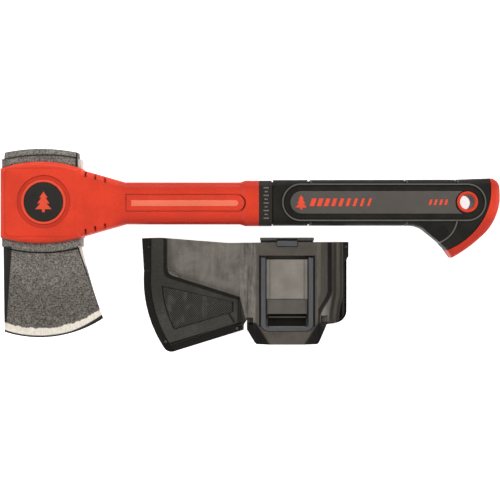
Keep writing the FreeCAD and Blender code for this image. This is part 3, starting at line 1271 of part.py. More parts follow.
def make_lever():
    """The clip: a frame of two arms and a bow, hinged under the bridge, with a thumb tab behind the hinge."""
    body = new_body("lever_blank", SHEATH)
    wide, arm, start, end = dims.lever_half, dims.lever_arm, dims.lever_start_x, dims.lever_end_x
    corner, inner_corner = dims.window_corner, dims.window_corner - dims.lever_bow
    inside, bow = wide - arm, end - dims.lever_bow
    frame = sketch_on(body, "lever_frame", "XY_Plane", [[
        (start, wide), (end - corner, wide, corner * QUARTER), (end, wide - corner),
        (end, corner - wide, corner * QUARTER), (end - corner, -wide), (start, -wide),
        (start, -inside), (bow - inner_corner, -inside, -inner_corner * QUARTER),
        (bow, inner_corner - inside), (bow, inside - inner_corner, -inner_corner * QUARTER),
        (bow - inner_corner, inside), (start, inside),
    ]], offset=(zero, zero, dims.lever_low))
    pad(body, "lever_frame_pad", frame, dims.lever_high - dims.lever_low)

    webs = []
    hinge_x, hinge_z, barrel = dims.hinge_x, dims.hinge_z, dims.hinge_barrel
    side = [
        (hinge_x, dims.web_low), (dims.web_end_x - 2, dims.web_low), (dims.web_end_x, dims.lever_low + 0.5),
        (start, dims.lever_low + 0.5), (start, dims.web_high), (hinge_x, dims.web_high),
    ]
    for name, sign in (("near", 1), ("far", -1)):
        middle = (wide - arm / 2) * sign
        web = prism(f"web_{name}", SHEATH, "XZ_Plane", side, arm, offset=(zero, zero, middle))
        webs.append(web)
    tab = [
        (dims.tab_top_x, dims.tab_low), (hinge_x, dims.web_low + 0.3), (hinge_x, dims.web_high),
        (dims.tab_low_x, dims.bridge_under - 0.3), (dims.tab_low_x, dims.tab_high),
        (dims.tab_top_x, dims.tab_high),
    ]
    thumb = prism("thumb_tab", SHEATH, "XZ_Plane", tab, dims.tab_half * 2)
    tube = make_round_bar("lever_barrel", barrel, wide)
    bore = make_round_bar("lever_bore", dims.hinge_pin_radius + dims.hinge_clearance, wide + 1)
    whole = boolean("Fuse", "lever_whole", body, *webs, thumb, tube)
    return boolean("Cut", "belt_clip_lever", whole, bore)


def make_spring():
    """The bent leaf that lifts the thumb tab."""
    leaf, low, high = dims.spring_leaf, dims.well_floor + dims.base_thickness, dims.tab_low
    near, far = dims.tab_top_x + 0.6, dims.tab_low_x + 0.6
    return prism("clip_spring", SHEATH, "XZ_Plane", [
        (near, low), (far, low), (far + leaf * 2, low + leaf), (near + leaf, high - leaf * 2),
        (near, high - leaf * 3), (far - leaf, low + leaf), (near, low + leaf),
    ], dims.spring_half * 2)


def build_sheath():
    rivets, holes = make_rivets()
    pin = make_round_bar("hinge_pin", dims.hinge_pin_radius, dims.window_half + dims.hinge_seat)
    return [*make_shells(holes), rivets, make_clip_base(), pin, make_lever(), make_spring()]


def build_hatchet():
    core = make_core()
    eyelet, eyelet_seat = make_eyelet()
    head = make_head()
    face, low = dims.collar_thickness / 2, dims.collar_thickness / 2 - dims.badge_sink - dims.badge_depth
    shaft_low = dims.shaft_thickness / 2 - dims.inlay_depth
    panel_high = dims.flare_thickness / 2 - dims.panel_sink
    badge = (dims.badge_x, dims.badge_y, dims.badge_radius)
    bar = bullet(dims.inlay_start_x, dims.inlay_end_x, dims.inlay_half)
    panel = panel_outline(zero)
    parts, cover_seats, grip_seats = [], [], []
    for side, sign in (("upper", 1), ("lower", -1)):
        def span(near, far):
            return (near, far) if sign > 0 else (-far, -near)

        first, last = span(low, low + 4)
        cover_seats.append(make_seat(f"badge_seat_{side}", badge, first, last - first))
        parts.append(make_badge(f"badge_{side}", *span(low, face - dims.badge_sink)))
        first, last = span(shaft_low, shaft_low + 4)
        cover_seats.append(make_seat(f"shaft_inlay_seat_{side}", bar, first, last - first))
        parts.append(make_plate(f"shaft_inlay_{side}", bar, *span(shaft_low, dims.shaft_thickness / 2)))
        first, last = span(panel_high - dims.panel_thickness, panel_high + 4)
        grip_seats.append(make_seat(f"grip_inlay_seat_{side}", panel, first, last - first))
        heights = span(panel_high - dims.panel_thickness, panel_high)
        parts.append(make_plate(f"grip_inlay_{side}", panel, *heights))
    cover = make_cover(head, core, cover_seats)
    band = make_band(core)
    grip = make_grip(core, eyelet_seat, grip_seats)
    spine = boolean("Cut", "handle_core", core, eyelet_seat)
    return [head, spine, cover, band, grip, make_cap(), eyelet, *parts]


def export(nodes):
    """Checks every sub-part and writes it as parts/NAME.step."""
    os.makedirs("parts", exist_ok=True)
    for thing in doc.Objects:
        bad = [state for state in thing.State if state in ("Invalid", "Error")]
        if bad:
            raise RuntimeError(f"{thing.Name} is {bad}")
    for node in nodes:
        shape = node.Shape
        if shape.isNull() or not shape.isValid() or not shape.Solids:
            raise RuntimeError(f"{node.Label} has no sound shape")
        shape.exportStep(f"parts/{node.Label}.step")
        print(f"{node.Label}: {len(shape.Solids)} solid, {shape.Volume:.0f} mm3")


export(build_hatchet() + build_sheath())
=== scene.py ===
import math

import bmesh
import bpy
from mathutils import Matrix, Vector
from mathutils.bvhtree import BVHTree


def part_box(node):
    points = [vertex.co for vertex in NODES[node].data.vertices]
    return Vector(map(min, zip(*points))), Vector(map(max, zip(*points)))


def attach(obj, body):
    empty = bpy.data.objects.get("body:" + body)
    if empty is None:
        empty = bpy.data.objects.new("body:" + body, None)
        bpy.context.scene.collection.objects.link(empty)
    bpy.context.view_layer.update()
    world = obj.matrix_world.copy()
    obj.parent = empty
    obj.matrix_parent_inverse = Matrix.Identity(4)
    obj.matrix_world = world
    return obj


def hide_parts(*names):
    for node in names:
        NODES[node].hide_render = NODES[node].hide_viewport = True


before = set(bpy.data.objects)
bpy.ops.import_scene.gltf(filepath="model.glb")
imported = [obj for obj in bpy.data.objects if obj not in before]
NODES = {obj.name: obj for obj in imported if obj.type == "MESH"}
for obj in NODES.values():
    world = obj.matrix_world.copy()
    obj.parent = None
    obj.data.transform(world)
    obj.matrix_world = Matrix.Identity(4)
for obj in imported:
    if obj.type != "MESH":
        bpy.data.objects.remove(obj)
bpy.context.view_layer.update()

# A hatchet with an orange moulded shaft and a black grip, lying above its black belt sheath.
# Metres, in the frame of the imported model: X along the handle, Y up the picture, Z away from the table.
MM = 0.001
MID_PLANE = sum(corner.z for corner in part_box("handle_core")) / 2
UP, DOWN = 1, -1
SIDE_NAME = {UP: "upper", DOWN: "lower"}
MARK_PROUD = 0.2 * MM  # how far the grip's printed marks stand out
FLOOR_REACH = 8.0
FLOOR_GLOW = 0.85
CAMERA_HEIGHT = 1.02
KNURL_PITCH = 1.65 * MM  # along X or Y, between the ridges of the sheath's diamond knurl


# ---- colours ------------------------------------------------------------------------------------

def srgb(red, green, blue):
    """A screen colour, 0 to 255, as the linear colour that a shader takes."""
    def linear(level):
        level /= 255
        return level / 12.92 if level <= 0.04045 else ((level + 0.055) / 1.055) ** 2.4
    return (linear(red), linear(green), linear(blue), 1.0)


ORANGE = srgb(217, 59, 33)
ORANGE_WORN = srgb(238, 118, 92)
PALE_ORANGE = srgb(234, 114, 86)
BLACK_RUBBER = srgb(30, 29, 25)
PANEL_GREY = srgb(82, 77, 72)
STEEL = srgb(108, 103, 96)
GROUND_STEEL = srgb(250, 241, 226)
SHEATH_SHEEN_GREY = srgb(108, 103, 96)
SHEATH_DARK = srgb(57, 55, 50)
CLIP_GREY = srgb(78, 79, 81)
INK_GREY = srgb(104, 99, 92)


# ---- materials ----------------------------------------------------------------------------------

class Finish:
    """A node material: short calls that build colour, roughness and bump from the object's own place."""

    def __init__(self, name, metallic=0.0, specular=0.5):
        self.material = bpy.data.materials.new(name)
        self.material.use_nodes = True
        self.tree = self.material.node_tree
        self.tree.nodes.clear()
        self.shader = self.node("ShaderNodeBsdfPrincipled")
        output = self.node("ShaderNodeOutputMaterial")
        self.tree.links.new(self.shader.outputs["BSDF"], output.inputs["Surface"])
        self.shader.inputs["Metallic"].default_value = metallic
        self.shader.inputs["Specular IOR Level"].default_value = specular
        self.place = self.node("ShaderNodeTexCoord").outputs["Object"]
        self.geometry = self.node("ShaderNodeNewGeometry")
        self.normal = None

    def node(self, kind, **settings):
        made = self.tree.nodes.new(kind)
        for key, value in settings.items():
            setattr(made, key, value)
        return made

    def feed(self, socket, value):
        if isinstance(value, bpy.types.NodeSocket):
            self.tree.links.new(value, socket)
        else:
            socket.default_value = value

    def math(self, operation, first, second=0.0):
        made = self.node("ShaderNodeMath", operation=operation)
        self.feed(made.inputs[0], first)
        self.feed(made.inputs[1], second)
        return made.outputs[0]

    def plus(self, first, second):
        return self.math("ADD", first, second)

    def minus(self, first, second):
        return self.math("SUBTRACT", first, second)

    def times(self, first, second):
        return self.math("MULTIPLY", first, second)

    def absolute(self, value):
        return self.math("ABSOLUTE", value)

    def step(self, value, low, high, out_low=0.0, out_high=1.0):
        """A smooth step of value from low to high."""
        made = self.node("ShaderNodeMapRange", interpolation_type="SMOOTHSTEP")
        for socket, given in zip(made.inputs, (value, low, high, out_low, out_high)):
            self.feed(socket, given)
        return made.outputs[0]

    def axes(self):
        made = self.node("ShaderNodeSeparateXYZ")
        self.feed(made.inputs[0], self.place)
        return made.outputs

    def stretched(self, scale):
        made = self.node("ShaderNodeVectorMath", operation="MULTIPLY")
        self.feed(made.inputs[0], self.place)
        made.inputs[1].default_value = scale
        return made.outputs[0]

    def noise(self, size, detail=3.0, place=None, rough=0.55, distortion=0.0):
        """Noise from 0 to 1 whose lumps are about size across."""
        made = self.node("ShaderNodeTexNoise")
        self.feed(made.inputs["Vector"], self.place if place is None else place)
        made.inputs["Scale"].default_value = 1 / size
        made.inputs["Detail"].default_value = detail
        made.inputs["Roughness"].default_value = rough
        made.inputs["Distortion"].default_value = distortion
        return made.outputs["Fac"]

    def mix(self, factor, first, second, blend="MIX"):
        made = self.node("ShaderNodeMix", data_type="RGBA", blend_type=blend)
        self.feed(made.inputs[0], factor)
        self.feed(made.inputs[6], first)
        self.feed(made.inputs[7], second)
        return made.outputs[2]

    def cover(self, colour, mask, strength, paint):
        """Paint laid over the colour where the mask is 1, at the strength given."""
        return self.mix(self.times(mask, strength), colour, paint)

    def shade(self, colour, value, spread):
        """The colour made darker and lighter by up to spread as value goes from 0 to 1."""
        level = self.step(value, 0.25, 0.75, 1 - spread, 1 + spread)
        made = self.node("ShaderNodeVectorMath", operation="SCALE")
        self.feed(made.inputs[0], colour[:3] if isinstance(colour, tuple) else colour)
        self.feed(made.inputs["Scale"], level)
        return made.outputs[0]

    def edges(self, radius):
        """1 along the edges and 0 on the flats, and normals rounded over the edges."""
        soft = self.node("ShaderNodeBevel", samples=4)
        soft.inputs["Radius"].default_value = radius
        self.normal = soft.outputs[0]
        dot = self.node("ShaderNodeVectorMath", operation="DOT_PRODUCT")
        self.feed(dot.inputs[0], soft.outputs[0])
        self.feed(dot.inputs[1], self.geometry.outputs["Normal"])
        return self.step(dot.outputs["Value"], 0.99, 0.8)

    def crevice(self, reach):
        """1 in the open, falling towards 0 in corners and gaps narrower than reach."""
        made = self.node("ShaderNodeAmbientOcclusion", samples=6)
        made.inputs["Distance"].default_value = reach
        return self.step(made.outputs["AO"], 0.25, 0.9, 0.3, 1.0)

    def between(self, value, low, high, soft=0.15 * MM):
        """1 where value lies between low and high."""
        rising = self.step(value, low - soft, low + soft)
        return self.times(rising, self.step(value, high - soft, high + soft, 1.0, 0.0))

    def both(self, *masks):
        """The masks multiplied together."""
        whole = masks[0]
        for mask in masks[1:]:
            whole = self.times(whole, mask)
        return whole

    def soft_min(self, first, second, reach):
        """The smaller of two values, with a rounded corner of about reach where they meet."""
        made = self.node("ShaderNodeMath", operation="SMOOTH_MIN")
        self.feed(made.inputs[0], first)
        self.feed(made.inputs[1], second)
        made.inputs[2].default_value = reach
        return made.outputs[0]

    def distance(self, axes, x, y):
        """Distance in plan from the point (x, y)."""
        across = self.minus(axes[0], x)
        along = self.minus(axes[1], y)
        return self.length(across, along)

    def length(self, across, along):
        """The length of the diagonal whose two sides are given."""
        square = self.plus(self.times(across, across), self.times(along, along))
        return self.math("SQRT", square)

    def over_line(self, axes, x, y, slope):
        """How far a point lies above a sloping line through (x, y), in plan."""
        line = self.plus(self.times(axes[0], slope), y - slope * x)
        return self.minus(axes[1], line)

    def bump(self, height, depth):
        made = self.node("ShaderNodeBump")
        made.inputs["Distance"].default_value = depth
        self.feed(made.inputs["Height"], height)
        if self.normal is not None:
            self.feed(made.inputs["Normal"], self.normal)
        self.normal = made.outputs[0]

    def finish(self, colour, roughness):
        self.feed(self.shader.inputs["Base Color"], colour)
        self.feed(self.shader.inputs["Roughness"], roughness)
        if self.normal is not None:
            self.feed(self.shader.inputs["Normal"], self.normal)
        return self.material


def moulded(name, colour, worn, roughness, grain=0.5 * MM, depth=0.05 * MM, spread=0.1, specular=0.4,
            round_off=0.5 * MM, scuff=0.5, marks=None):
    """Moulded plastic or rubber: fine grain, cloudy tone, paler rubbed edges, painted shade in crevices,
    then the marks, if any.
    """
    made = Finish(name, specular=specular)
    edge = made.edges(round_off)
    cloud = made.noise(22 * MM, 4)
    patch = made.noise(5 * MM, 5)
    speck = made.noise(grain, 2)
    tone = made.shade(made.shade(colour, cloud, spread), speck, spread * 0.8)
    rubbed = made.times(edge, made.step(patch, 0.3, 0.7, scuff * 0.4, scuff))
    patchy = made.step(patch, 0.3, 0.7, roughness - 0.07, roughness + 0.07)
    gloss = made.plus(patchy, made.times(edge, -0.08))
    made.bump(speck, depth)
    made.bump(patch, depth * 2)
    # Painted shade: the colour darkened towards a deep tone in corners and gaps.
    crevice_shade = tuple(0.35 * level for level in colour[:3]) + (1,)
    shaded = made.mix(made.crevice(2.5 * MM), crevice_shade, made.mix(rubbed, tone, worn))
    if marks is not None:
        shaded = marks(made, shaded)
    return made.finish(shaded, gloss)


def forged_steel():
    """Dark forged steel, speckled, with painted shadow in its gaps and a bright ground cutting edge."""
    made = Finish("forged_steel", metallic=0.3, specular=0.4)
    edge = made.edges(0.4 * MM)
    axes = made.axes()
    low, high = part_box("axe_head")
    edge_middle_x = low.x + 25.6 * MM
    # Distance from the middle of the arc that the cutting edge follows.
    radius = made.distance(axes, edge_middle_x, low.y + 83 * MM)
    rag_noise = made.noise(3.2 * MM, 6, made.stretched((1, 0.3, 1)), 0.75)
    ragged = made.step(rag_noise, 0.2, 0.8, -0.9 * MM, 0.9 * MM)
    band = made.plus(radius, ragged)
    aside = made.absolute(made.minus(axes[0], edge_middle_x))
    worn_ends = made.plus(radius, made.step(aside, 18 * MM, 46 * MM, 0.0, 1.4 * MM))
    ground = made.both(made.step(band, 76.0 * MM, 76.9 * MM), made.step(worn_ends, 82.4 * MM, 81.4 * MM))
    # Painted shade: the band of the cutting edge's second bevel, which falls away from the light.
    edge_bevel_shade = made.step(worn_ends, 81.2 * MM, 82.2 * MM)

    fine = made.noise(1.1 * MM, 2, rough=0.6)
    coarse = made.noise(2.8 * MM, 4, rough=0.6)
    patch = made.noise(16 * MM, 4)
    steel = made.shade(made.shade(made.shade(STEEL, fine, 0.75), coarse, 0.24), patch, 0.14)
    # Painted light: the cheeks lighter towards the eye, where the key light falls.
    steel = made.shade(steel, made.step(axes[1], low.y + 12 * MM, low.y + 66 * MM), 0.14)
    brown = made.times(made.step(made.noise(9 * MM, 5, distortion=1.0), 0.55, 0.75), 0.3)
    steel = made.mix(brown, steel, srgb(104, 80, 60))
    pale = made.times(made.step(made.noise(1.3 * MM, 2, rough=0.7), 0.6, 0.72), 0.55)
    steel = made.mix(pale, steel, srgb(176, 170, 160))
    steel = made.cover(steel, edge, 0.35, srgb(156, 152, 146))

    # Painted by place, in plan: painted shade on the facet on the toe side, painted shadow in the step
    # under the eye and along the heel and the poll, and painted highlights on the planed heel side and the
    # poll's side.
    root = high.y - 69.6 * MM
    poll = made.step(axes[1], high.y - 16.2 * MM, high.y - 15.2 * MM)
    blade = made.step(axes[1], root, root - 0.6 * MM)
    facet = made.minus(made.times(made.minus(axes[1], root), 0.088), axes[0])
    toe_facet_shade = made.both(blade, made.step(facet, 169.7 * MM, 170.3 * MM))
    # Painted shade on the facet that faces away from the light.
    steel = made.cover(steel, toe_facet_shade, 0.96, srgb(20, 18, 15))
    heel = made.over_line(axes, low.x + 53.7 * MM, root, -3.0)
    planed_highlight = made.both(blade, made.step(heel, 0.6 * MM, 1.6 * MM), made.step(radius, 80.5 * MM, 80.0 * MM))
    # Painted highlight over the bare planed heel face, which turns to the light.
    steel = made.cover(steel, planed_highlight, 0.9, srgb(206, 202, 196))
    poll_side_highlight = made.both(made.step(axes[0], low.x + 54.0 * MM, low.x + 54.5 * MM), poll)
    # Painted highlight over the poll's bare heel side, likewise turned to the light.
    steel = made.cover(steel, poll_side_highlight, 0.9, srgb(204, 200, 194))
    under_eye = made.distance(axes, low.x + 28.1 * MM, high.y + 26.7 * MM)
    eye_step_shadow = made.both(made.between(under_eye, 100.5 * MM, 101.5 * MM, 0.2 * MM),
                    made.step(axes[1], high.y - 54.2 * MM, high.y - 55.2 * MM),
                    made.step(axes[0], low.x + 54.5 * MM, low.x + 53.5 * MM))
    heel_step_shadow = made.both(blade, made.between(heel, -2.2 * MM, 0.6 * MM, 0.5 * MM),
                         made.step(radius, 78 * MM, 50 * MM, 0.0, 1.0))
    poll_step_shadow = made.both(made.between(axes[0], low.x + 52.4 * MM, low.x + 53.9 * MM), poll)
    poll_line_shadow = made.both(made.between(made.distance(axes, low.x + 30 * MM, high.y - 133.2 * MM),
                                       128.1 * MM, 129.2 * MM),
                          made.step(axes[0], low.x + 53.2 * MM, low.x + 53.0 * MM))
    # Painted shadow: black lines in the steps under the eye, along the heel and over the poll.
    for shadow_mask, strength in ((eye_step_shadow, 1.0), (heel_step_shadow, 0.95), (poll_step_shadow, 0.95), (poll_line_shadow, 0.85)):
        steel = made.cover(steel, shadow_mask, strength, srgb(10, 9, 7))

    scratches = made.noise(0.6 * MM, 3, made.stretched((1, 0.06, 1)), 0.7)
    shine = made.shade(made.shade(GROUND_STEEL, scratches, 0.12), coarse, 0.08)
    steel = made.mix(ground, steel, shine)
    # Painted shade on the cutting edge's second bevel.
    steel = made.cover(steel, edge_bevel_shade, 0.95, srgb(28, 26, 23))
    # Painted shade, darkening the steel in crevices and gaps.
    steel = made.mix(made.crevice(2.5 * MM), srgb(30, 28, 26), steel)
    made.bump(fine, 0.25 * MM)
    made.bump(coarse, 0.35 * MM)
    made.bump(made.times(ground, scratches), 0.06 * MM)
    made.bump(made.times(ground, -1.0), 0.12 * MM)
    gloss = made.step(coarse, 0.3, 0.7, 0.5, 0.64)
    return made.finish(steel, made.minus(gloss, made.times(ground, 0.18)))


def sheath_plastic():
    """Black sheath plastic: the open field greyer and glossier with a painted reflection, matt and dark on
    the frame; painted light and shade on its slopes, gaps and bands.
    """
    made = Finish("sheath_plastic", specular=0.1)
    edge = made.edges(0.7 * MM)
    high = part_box("sheath_back_shell")[1]
    clip_low, clip_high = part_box("clip_base")
    middle = (clip_low.x + clip_high.x) / 2
    axes = made.axes()
    cloud = made.noise(17 * MM, 5, distortion=0.8)
    patch = made.noise(4 * MM, 5)
    speck = made.noise(0.9 * MM, 3, rough=0.7)
    streak = made.noise(3 * MM, 4, made.stretched((1, 0.09, 0.3)), 0.7)

    # Places in plan: the frame's inner edges, the ramp up to the belt panel, the slopes beyond the rims,
    # where painted shade and highlights go.
    ramp = middle - 33.4 * MM
    open_side = made.minus(axes[0], middle - 85.4 * MM)
    frame_line = made.over_line(axes, middle - 76.5 * MM, high.y - 28.8 * MM, -0.311)
    inner = made.soft_min(open_side, made.times(frame_line, 0.955), 7 * MM)
    past_ramp = made.step(axes[0], ramp - 0.3 * MM, ramp + 0.3 * MM)
    before_ramp = made.minus(1.0, past_ramp)
    field = made.math("MAXIMUM", made.step(inner, -0.3 * MM, 0.3 * MM), past_ramp)
    inner_slope_shade = made.both(made.between(inner, -2.6 * MM, 0.2 * MM, 0.5 * MM), before_ramp)
    foot = made.both(made.between(inner, 0.2 * MM, 0.8 * MM, 0.25 * MM), before_ramp)
    shadow = made.step(inner, 7 * MM, 0.5 * MM, 0.0, 0.45)
    end_slant = made.times(made.minus(axes[1], high.y - 42 * MM), 0.267)
    frame_end = made.plus(made.minus(axes[0], ramp), end_slant)
    end_slope_shade = made.both(made.step(axes[0], ramp - 2.4 * MM, ramp - 0.8 * MM),
                          made.step(frame_end, 0.6 * MM, -0.4 * MM),
                          made.step(axes[1], high.y - 41.4 * MM, high.y - 43.4 * MM))
    rim = made.step(made.distance(axes, middle - 13.2 * MM, high.y - 30.1 * MM), 83.1 * MM, 84.1 * MM)
    straight = made.step(axes[1], high.y - 25.4 * MM, high.y - 22.4 * MM)
    rim = made.both(rim, made.step(axes[0], middle - 63 * MM, middle - 73 * MM),
                    made.step(straight, 1.0, 0.0))
    rim_side_shade = made.both(straight, made.step(axes[0], middle - 96.2 * MM, middle - 97.2 * MM))
    heel_line = made.over_line(axes, middle - 81.6 * MM, high.y - 74.4 * MM, 0.298)
    heel = made.both(made.step(heel_line, 0.4 * MM, -0.6 * MM),
                     made.step(axes[0], ramp + 2 * MM, ramp + 1 * MM))
    ramp_band = made.between(axes[0], ramp, middle - 21.6 * MM, 1.0 * MM)
    across = made.minus(axes[0], middle)
    aside = made.absolute(across)
    lobe_edge = made.plus(aside, made.times(made.minus(high.y - 60.2 * MM, axes[1]), 0.623))
    lobe_wall_shade = made.both(made.step(lobe_edge, 20.4 * MM, 23.0 * MM), made.step(aside, 31 * MM, 30 * MM),
                     made.step(axes[1], high.y - 59.4 * MM, high.y - 60.8 * MM))
    window_gap_shade = made.both(made.between(aside, 18.5 * MM, 19.8 * MM, 0.2 * MM),
                       made.between(axes[1], high.y - 63 * MM, high.y - 12.6 * MM, 0.4 * MM))

    towards_heel = made.step(axes[1], high.y - 38 * MM, high.y - 66 * MM)
    frame_tone = made.mix(towards_heel, SHEATH_DARK, srgb(66, 64, 59))
    dark = made.shade(made.shade(frame_tone, speck, 0.34), cloud, 0.14)
    # Painted reflection: the dark glossy plastic of the open field greyed and clouded like a softbox's
    # reflection.
    field_sheen = made.shade(made.shade(made.shade(SHEATH_SHEEN_GREY, cloud, 0.3), streak, 0.12), speck, 0.12)
    field_sheen = made.mix(shadow, field_sheen, srgb(52, 49, 44))
    colour = made.mix(field, dark, field_sheen)
    # Painted light and shade: bright and dark streaks on the ramp where it bends up to the belt panel.
    ramp_streak_light = made.shade(made.shade(srgb(106, 101, 94), streak, 0.6), patch, 0.2)
    colour = made.mix(ramp_band, colour, ramp_streak_light)
    panel = made.step(aside, 22.1 * MM, 21.1 * MM)
    colour = made.mix(panel, colour, made.shade(srgb(84, 79, 73), cloud, 0.2))
    # Painted light and shade beyond the belt panel: lit and shaded slopes, a dark valley and the black
    # fall-off at the far side, curving with the sheath.
    bend = made.step(axes[1], high.y - 37 * MM, high.y - 57 * MM, 0.0, 9 * MM)
    near = made.plus(across, bend)
    outer = made.plus(across, made.times(bend, 0.3))
    light_and_shade_bands = (
        (near, 21.6, 23.4, srgb(82, 78, 71)), (near, 23.4, 28.4, srgb(68, 64, 58)),
        (near, 28.4, 32.6, srgb(22, 20, 17)), (outer, 32.6, 35.8, srgb(52, 49, 44)),
        (outer, 35.8, 37.4, srgb(72, 68, 61)), (outer, 37.4, 39.6, srgb(50, 47, 41)),
        (outer, 39.6, 60.0, srgb(8, 7, 6)),
    )
    beyond_panel = made.step(across, 21.2 * MM, 22.2 * MM)
    for way, start, end, band_light in light_and_shade_bands:
        mask = made.both(beyond_panel, made.between(way, start * MM, end * MM, 0.9 * MM))
        colour = made.mix(mask, colour, made.shade(made.shade(band_light, speck, 0.2), streak, 0.14))
    # Painted shade on the frame's inner slope and end, the slopes beyond the rims and the heel, the lobe's
    # walls and the gaps along the clip.
    for mask, strength in ((inner_slope_shade, 0.8), (end_slope_shade, 0.8), (rim, 0.88), (rim_side_shade, 0.88), (heel, 0.9),
                           (lobe_wall_shade, 0.94), (window_gap_shade, 0.9)):
        colour = made.cover(colour, mask, strength, srgb(12, 11, 9))
    # Painted highlight: a thin light line at the foot of the frame's inner slope.
    colour = made.cover(colour, foot, 0.5, srgb(134, 128, 118))
    colour = made.cover(colour, edge, 0.25, srgb(120, 114, 104))
    # Painted shade in crevices and gaps.
    colour = made.mix(made.crevice(3.0 * MM), srgb(12, 11, 10), colour)
    made.bump(speck, 0.12 * MM)
    made.bump(streak, 0.1 * MM)
    made.bump(cloud, 0.5 * MM)
    gloss = made.plus(made.step(patch, 0.3, 0.7, 0.46, 0.58), made.times(field, -0.12))
    return made.finish(colour, gloss)


def collar_marks(made, colour):
    """Painted shade in the badge's dished ring and a painted highlight on its rim, a faint line of painted
    shade round the collar's raised face, painted shade on the shaft's rounded edges.
    """
    axes = made.axes()
    cover_low, cover_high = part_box("shaft_overmold")
    off = made.absolute(made.minus(axes[1], (cover_low.y + cover_high.y) / 2))
    shaft = made.step(axes[0], cover_low.x + 78 * MM, cover_low.x + 92 * MM)
    # Painted shade: the shaft darker towards its rounded top and bottom edges.
    shaft_edge_shade = made.both(shaft, made.step(off, 6 * MM, 14.5 * MM, 0.1, 0.55))
    colour = made.mix(shaft_edge_shade, colour, srgb(160, 30, 18))
    from_toe = made.minus(axes[0], cover_low.x + 3.6 * MM)
    face = made.soft_min(from_toe, made.minus(24.2 * MM, off), 8 * MM)
    # Painted shade: a faint line along the edge of the collar's raised face.
    collar_face_shade = made.both(made.between(face, -0.5 * MM, 0.4 * MM, 0.3 * MM),
                          made.step(axes[0], cover_low.x + 54 * MM, cover_low.x + 40 * MM))
    colour = made.cover(colour, collar_face_shade, 0.3, srgb(150, 28, 16))
    low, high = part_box("badge_upper")
    middle = (low + high) / 2
    inner = (high.x - low.x) / 2
    radius = made.distance(axes, middle.x, middle.y)
    # Painted shade in the dished ring round the badge and a painted highlight on its raised rim.
    dish_shade = made.between(radius, inner + 1.8 * MM, inner + 4.8 * MM, 0.25 * MM)
    rim = made.between(radius, inner + 0.2 * MM, inner + 1.6 * MM, 0.25 * MM)
    colour = made.cover(colour, dish_shade, 0.45, srgb(176, 38, 22))
    return made.cover(colour, rim, 0.4, srgb(240, 100, 66))


def grip_lines(made, colour):
    """The racetrack's bead and the crease by the finger scoop, each a painted highlight between dark lines
    of painted shade, with painted shade and highlights at the rims' notches.
    """
    low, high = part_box("grip_inlay_upper")
    eyelet_low, eyelet_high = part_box("lanyard_eyelet")
    axes = made.axes()
    start, end = low.x + 7.4 * MM, (eyelet_low.x + eyelet_high.x) / 2
    past = made.math("MAXIMUM", made.minus(start, axes[0]), made.minus(axes[0], end))
    past = made.math("MAXIMUM", past, 0.0)
    off = made.minus(axes[1], (low.y + high.y) / 2)
    track = made.length(past, off)
    crease = made.distance(axes, end - 27.7 * MM, low.y - 1.8 * MM)
    crease_place = made.both(made.step(axes[0], end - 21 * MM, end - 20 * MM),
                             made.step(axes[1], low.y - 4.6 * MM, low.y - 5.6 * MM))
    rims = made.step(made.absolute(off), 13.4 * MM, 13.7 * MM)
    upper_rim = made.both(rims, made.step(off, 0.0, 1 * MM))
    for along, rim in ((5.7, rims), (74.2, rims), (110.3, upper_rim)):
        notch_middle = start + along * MM
        notch_band = made.between(axes[0], notch_middle - 0.9 * MM, notch_middle + 0.9 * MM, 0.25 * MM)
        notch_shade = made.both(rim, notch_band)
        # Painted shade in the notch across the rim.
        colour = made.cover(colour, notch_shade, 0.9, srgb(6, 6, 5))
        notch_highlight_band = made.between(axes[0], notch_middle + 1.0 * MM, notch_middle + 1.8 * MM, 0.25 * MM)
        notch_highlight = made.both(rim, notch_highlight_band)
        # Painted highlight on the notch's lip.
        colour = made.cover(colour, notch_highlight, 0.5, srgb(120, 117, 110))
    for value, place, ridge in ((track, 1.0, 12.85 * MM), (crease, crease_place, 20.6 * MM)):
        groove_shade = made.both(made.between(value, ridge - 1.3 * MM, ridge + 1.3 * MM, 0.3 * MM), place)
        bead = made.both(made.between(value, ridge - 0.5 * MM, ridge + 0.5 * MM, 0.2 * MM), place)
        # Painted shade in the grooves beside the bead, and a painted highlight along the bead.
        colour = made.cover(colour, groove_shade, 0.7, srgb(8, 8, 6))
        colour = made.cover(colour, bead, 0.75, srgb(112, 109, 102))
    return colour


def bore_marks(made, colour):
    """The eyelet's bore, painted dark inside with shade."""
    low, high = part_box("lanyard_eyelet")
    middle = (low + high) / 2
    axes = made.axes()
    radius = made.distance(axes, middle.x, middle.y)
    deep = made.step(made.absolute(made.minus(axes[2], middle.z)), 11.9 * MM, 11.0 * MM)
    bore = made.both(deep, made.step(radius, 6.0 * MM, 5.6 * MM))
    # Painted shade inside the bore.
    return made.cover(colour, bore, 0.93, srgb(40, 18, 12))


def knurl_marks(made, colour):
    """Painted shade in the valleys and painted highlights on the crests of the diamond knurl, and a painted
    sheen in soft slight waves.
    """
    axes = made.axes()
    sums = (made.plus(axes[0], axes[1]), made.minus(axes[0], axes[1]))
    waves = [made.absolute(made.math("SINE", made.times(way, math.pi / KNURL_PITCH)))
             for way in sums]
    height = made.math("MINIMUM", *waves)
    # Painted shade in the knurl's valleys.
    colour = made.mix(made.step(height, 0.5, 0.15, 0.0, 0.75), colour, srgb(18, 17, 15))
    # Painted highlight on the knurl's crests.
    colour = made.mix(made.step(height, 0.55, 0.9, 0.0, 0.4), colour, srgb(120, 115, 106))
    sheen = made.noise(11 * MM, 2, made.stretched((1.5, 0.7, 1)), distortion=0.6)
    # Painted sheen in slight waves over the pad.
    return made.mix(made.step(sheen, 0.5, 0.7, 0.0, 0.3), colour, srgb(104, 100, 93))


